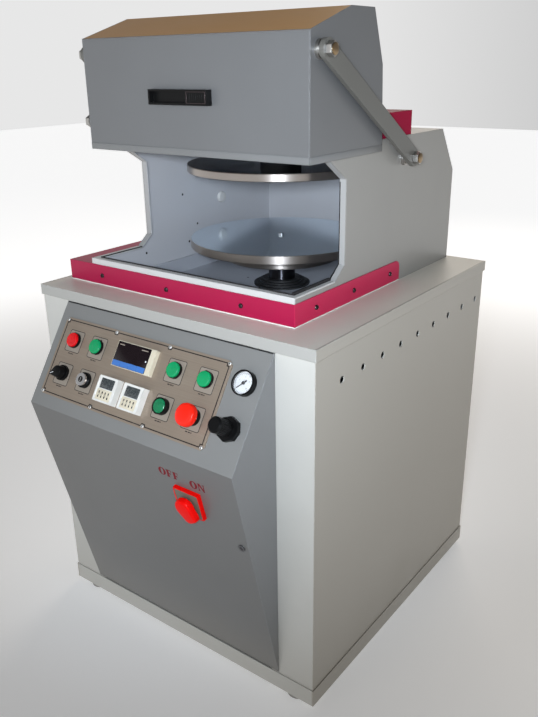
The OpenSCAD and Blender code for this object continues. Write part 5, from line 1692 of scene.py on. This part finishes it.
@dataclass
class Studio:
    """Floor, light and the camera at the photograph's viewing angle."""

    eye: Point3 = (929.2, -903.0, 1141.4)
    ahead: Point3 = (-0.56241, 0.74116, -0.36658)
    right: Point3 = (0.80000, 0.59983, -0.01462)
    lens: float = 37.88
    sensor: float = 36.0
    clip_end: float = 50.0
    floor_half: float = 12.0
    floor_glow: float = 0.78
    lamps: tuple[Lamp, ...] = (
        Lamp("key", (-0.7, -2.9, 2.3), (0, 0, 0.7), 1.4, 4.0),
        Lamp("right", (2.9, -0.4, 2.2), (0, 0, 0.7), 1.8, 1.0, (1.0, 0.9, 0.78)),
        Lamp("back", (-0.6, 3.0, 2.8), (0, 0, 0.8), 2.0, 36.0, (1.0, 0.9, 0.78)))
    flash: Lamp = Lamp("flash", (0.88, -1.24, 1.18), (-0.05, -0.1, 0.8), 0.06, 78.0, (0.8, 0.89, 1.0))
    flash_cone: float = 70.0
    dim_way: Point3 = (0.8, 0.6, 0.0)

    def _camera(self) -> None:
        """Camera that was solved from the cabinet's edges."""
        ahead, right = Vector(self.ahead).normalized(), Vector(self.right).normalized()
        up = right.cross(ahead).normalized()
        data = bpy.data.cameras.new("camera")
        data.lens = self.lens
        data.sensor_width = self.sensor
        data.sensor_fit = "AUTO"
        data.clip_end = self.clip_end
        camera = bpy.data.objects.new("camera", data)
        x, y, z = self.eye
        camera.matrix_world = Matrix((
            (right.x, up.x, -ahead.x, x * MM), (right.y, up.y, -ahead.y, (y - ORIGIN_Y) * MM),
            (right.z, up.z, -ahead.z, z * MM), (0, 0, 0, 1)))
        bpy.context.scene.collection.objects.link(camera)
        bpy.context.scene.camera = camera

    def _floor(self) -> None:
        """Plain pale floor that fades into the surround."""
        shape = bmesh.new()
        bmesh.ops.create_grid(shape, x_segments=2, y_segments=2, size=self.floor_half)
        data = bpy.data.meshes.new("studio_floor")
        shape.to_mesh(data)
        shape.free()
        paint = bpy.data.materials.new("studio_floor")
        graph = Graph(paint)
        x, y, _ = graph.axes()
        far = (x * x + y * y).ramp(0.6, 9.0)
        graph.finish({
            "Base Color": graph.mix(graph.noise(0.6, 2.0), srgb(240, 240, 240), srgb(246, 246, 246)),
            "Roughness": 0.9, "Emission Color": graph.mix(far, (0.32, 0.32, 0.32), (1.0, 1.0, 1.0)),
            "Emission Strength": self.floor_glow})
        data.materials.append(paint)
        made = bpy.data.objects.new("studio_floor", data)
        bpy.context.scene.collection.objects.link(made)
        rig.stage(made)

    @staticmethod
    def _light(lamp: Lamp, kind: str) -> bpy.types.Light:
        """Puts a light in the scene and turns it to its aim.

        Args:
            lamp: The light's place, aim and power.
            kind: Type of the light.

        Returns:
            The light's data.
        """
        data = bpy.data.lights.new(lamp.name, kind)
        data.color = lamp.colour
        data.energy = lamp.power
        made = bpy.data.objects.new(lamp.name, data)
        made.location = lamp.place
        made.rotation_euler = (Vector(lamp.aim) - Vector(lamp.place)).to_track_quat("-Z", "Y").to_euler()
        bpy.context.scene.collection.objects.link(made)
        return data

    def _lights(self) -> None:
        """Soft lamps, and a cool flash close to the camera that fades towards its cone's edge."""
        for lamp in self.lamps:
            self._light(lamp, "AREA").size = lamp.size
        data = self._light(self.flash, "SPOT")
        data.spot_size = math.radians(self.flash_cone)
        data.spot_blend = 1.0
        data.shadow_soft_size = self.flash.size

    def _sky(self) -> None:
        """Pale surround, brightest at the horizon and dimmer on the right, behind the machine."""
        world = bpy.data.worlds.new("studio")
        graph = Graph(world, "Generated")
        _, _, height = graph.axes()
        dim = graph.dot(graph.place, self.dim_way).fade(0.1, 0.7, 1.0, 0.4)
        glow = height.fade(0.2, 0.5, 0.8, 0.1) * dim
        shader = graph.node("ShaderNodeBackground", None, {"Color": (1.0, 1.0, 1.0), "Strength": glow})
        graph.close(shader, "ShaderNodeOutputWorld")
        bpy.context.scene.world = world

    def build(self) -> None:
        """Makes the studio."""
        self._camera()
        self._floor()
        self._lights()
        self._sky()
        bpy.context.scene.view_settings.view_transform = "Standard"


def write_sizes() -> None:
    """Writes the box of the solids and that of the dressed machine."""
    boxes = {"cad": [list(corner) for corner in CAD_BOX], "visual": [list(corner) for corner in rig.bounds()]}
    Path("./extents.json").write_text(json.dumps(boxes))


def main() -> None:
    """Builds the studio, paints the solids and adds each group of pieces."""
    logging.basicConfig(level=logging.INFO, format="%(name)s: %(message)s")
    Studio().build()
    paint_solids()
    for group in (ControlPanel(), AirGauge(), MainSwitch(), Hood(), Housing(), Turntable(), Cabinet()):
        group.build()
    write_sizes()


if __name__ == "__main__":
    main()
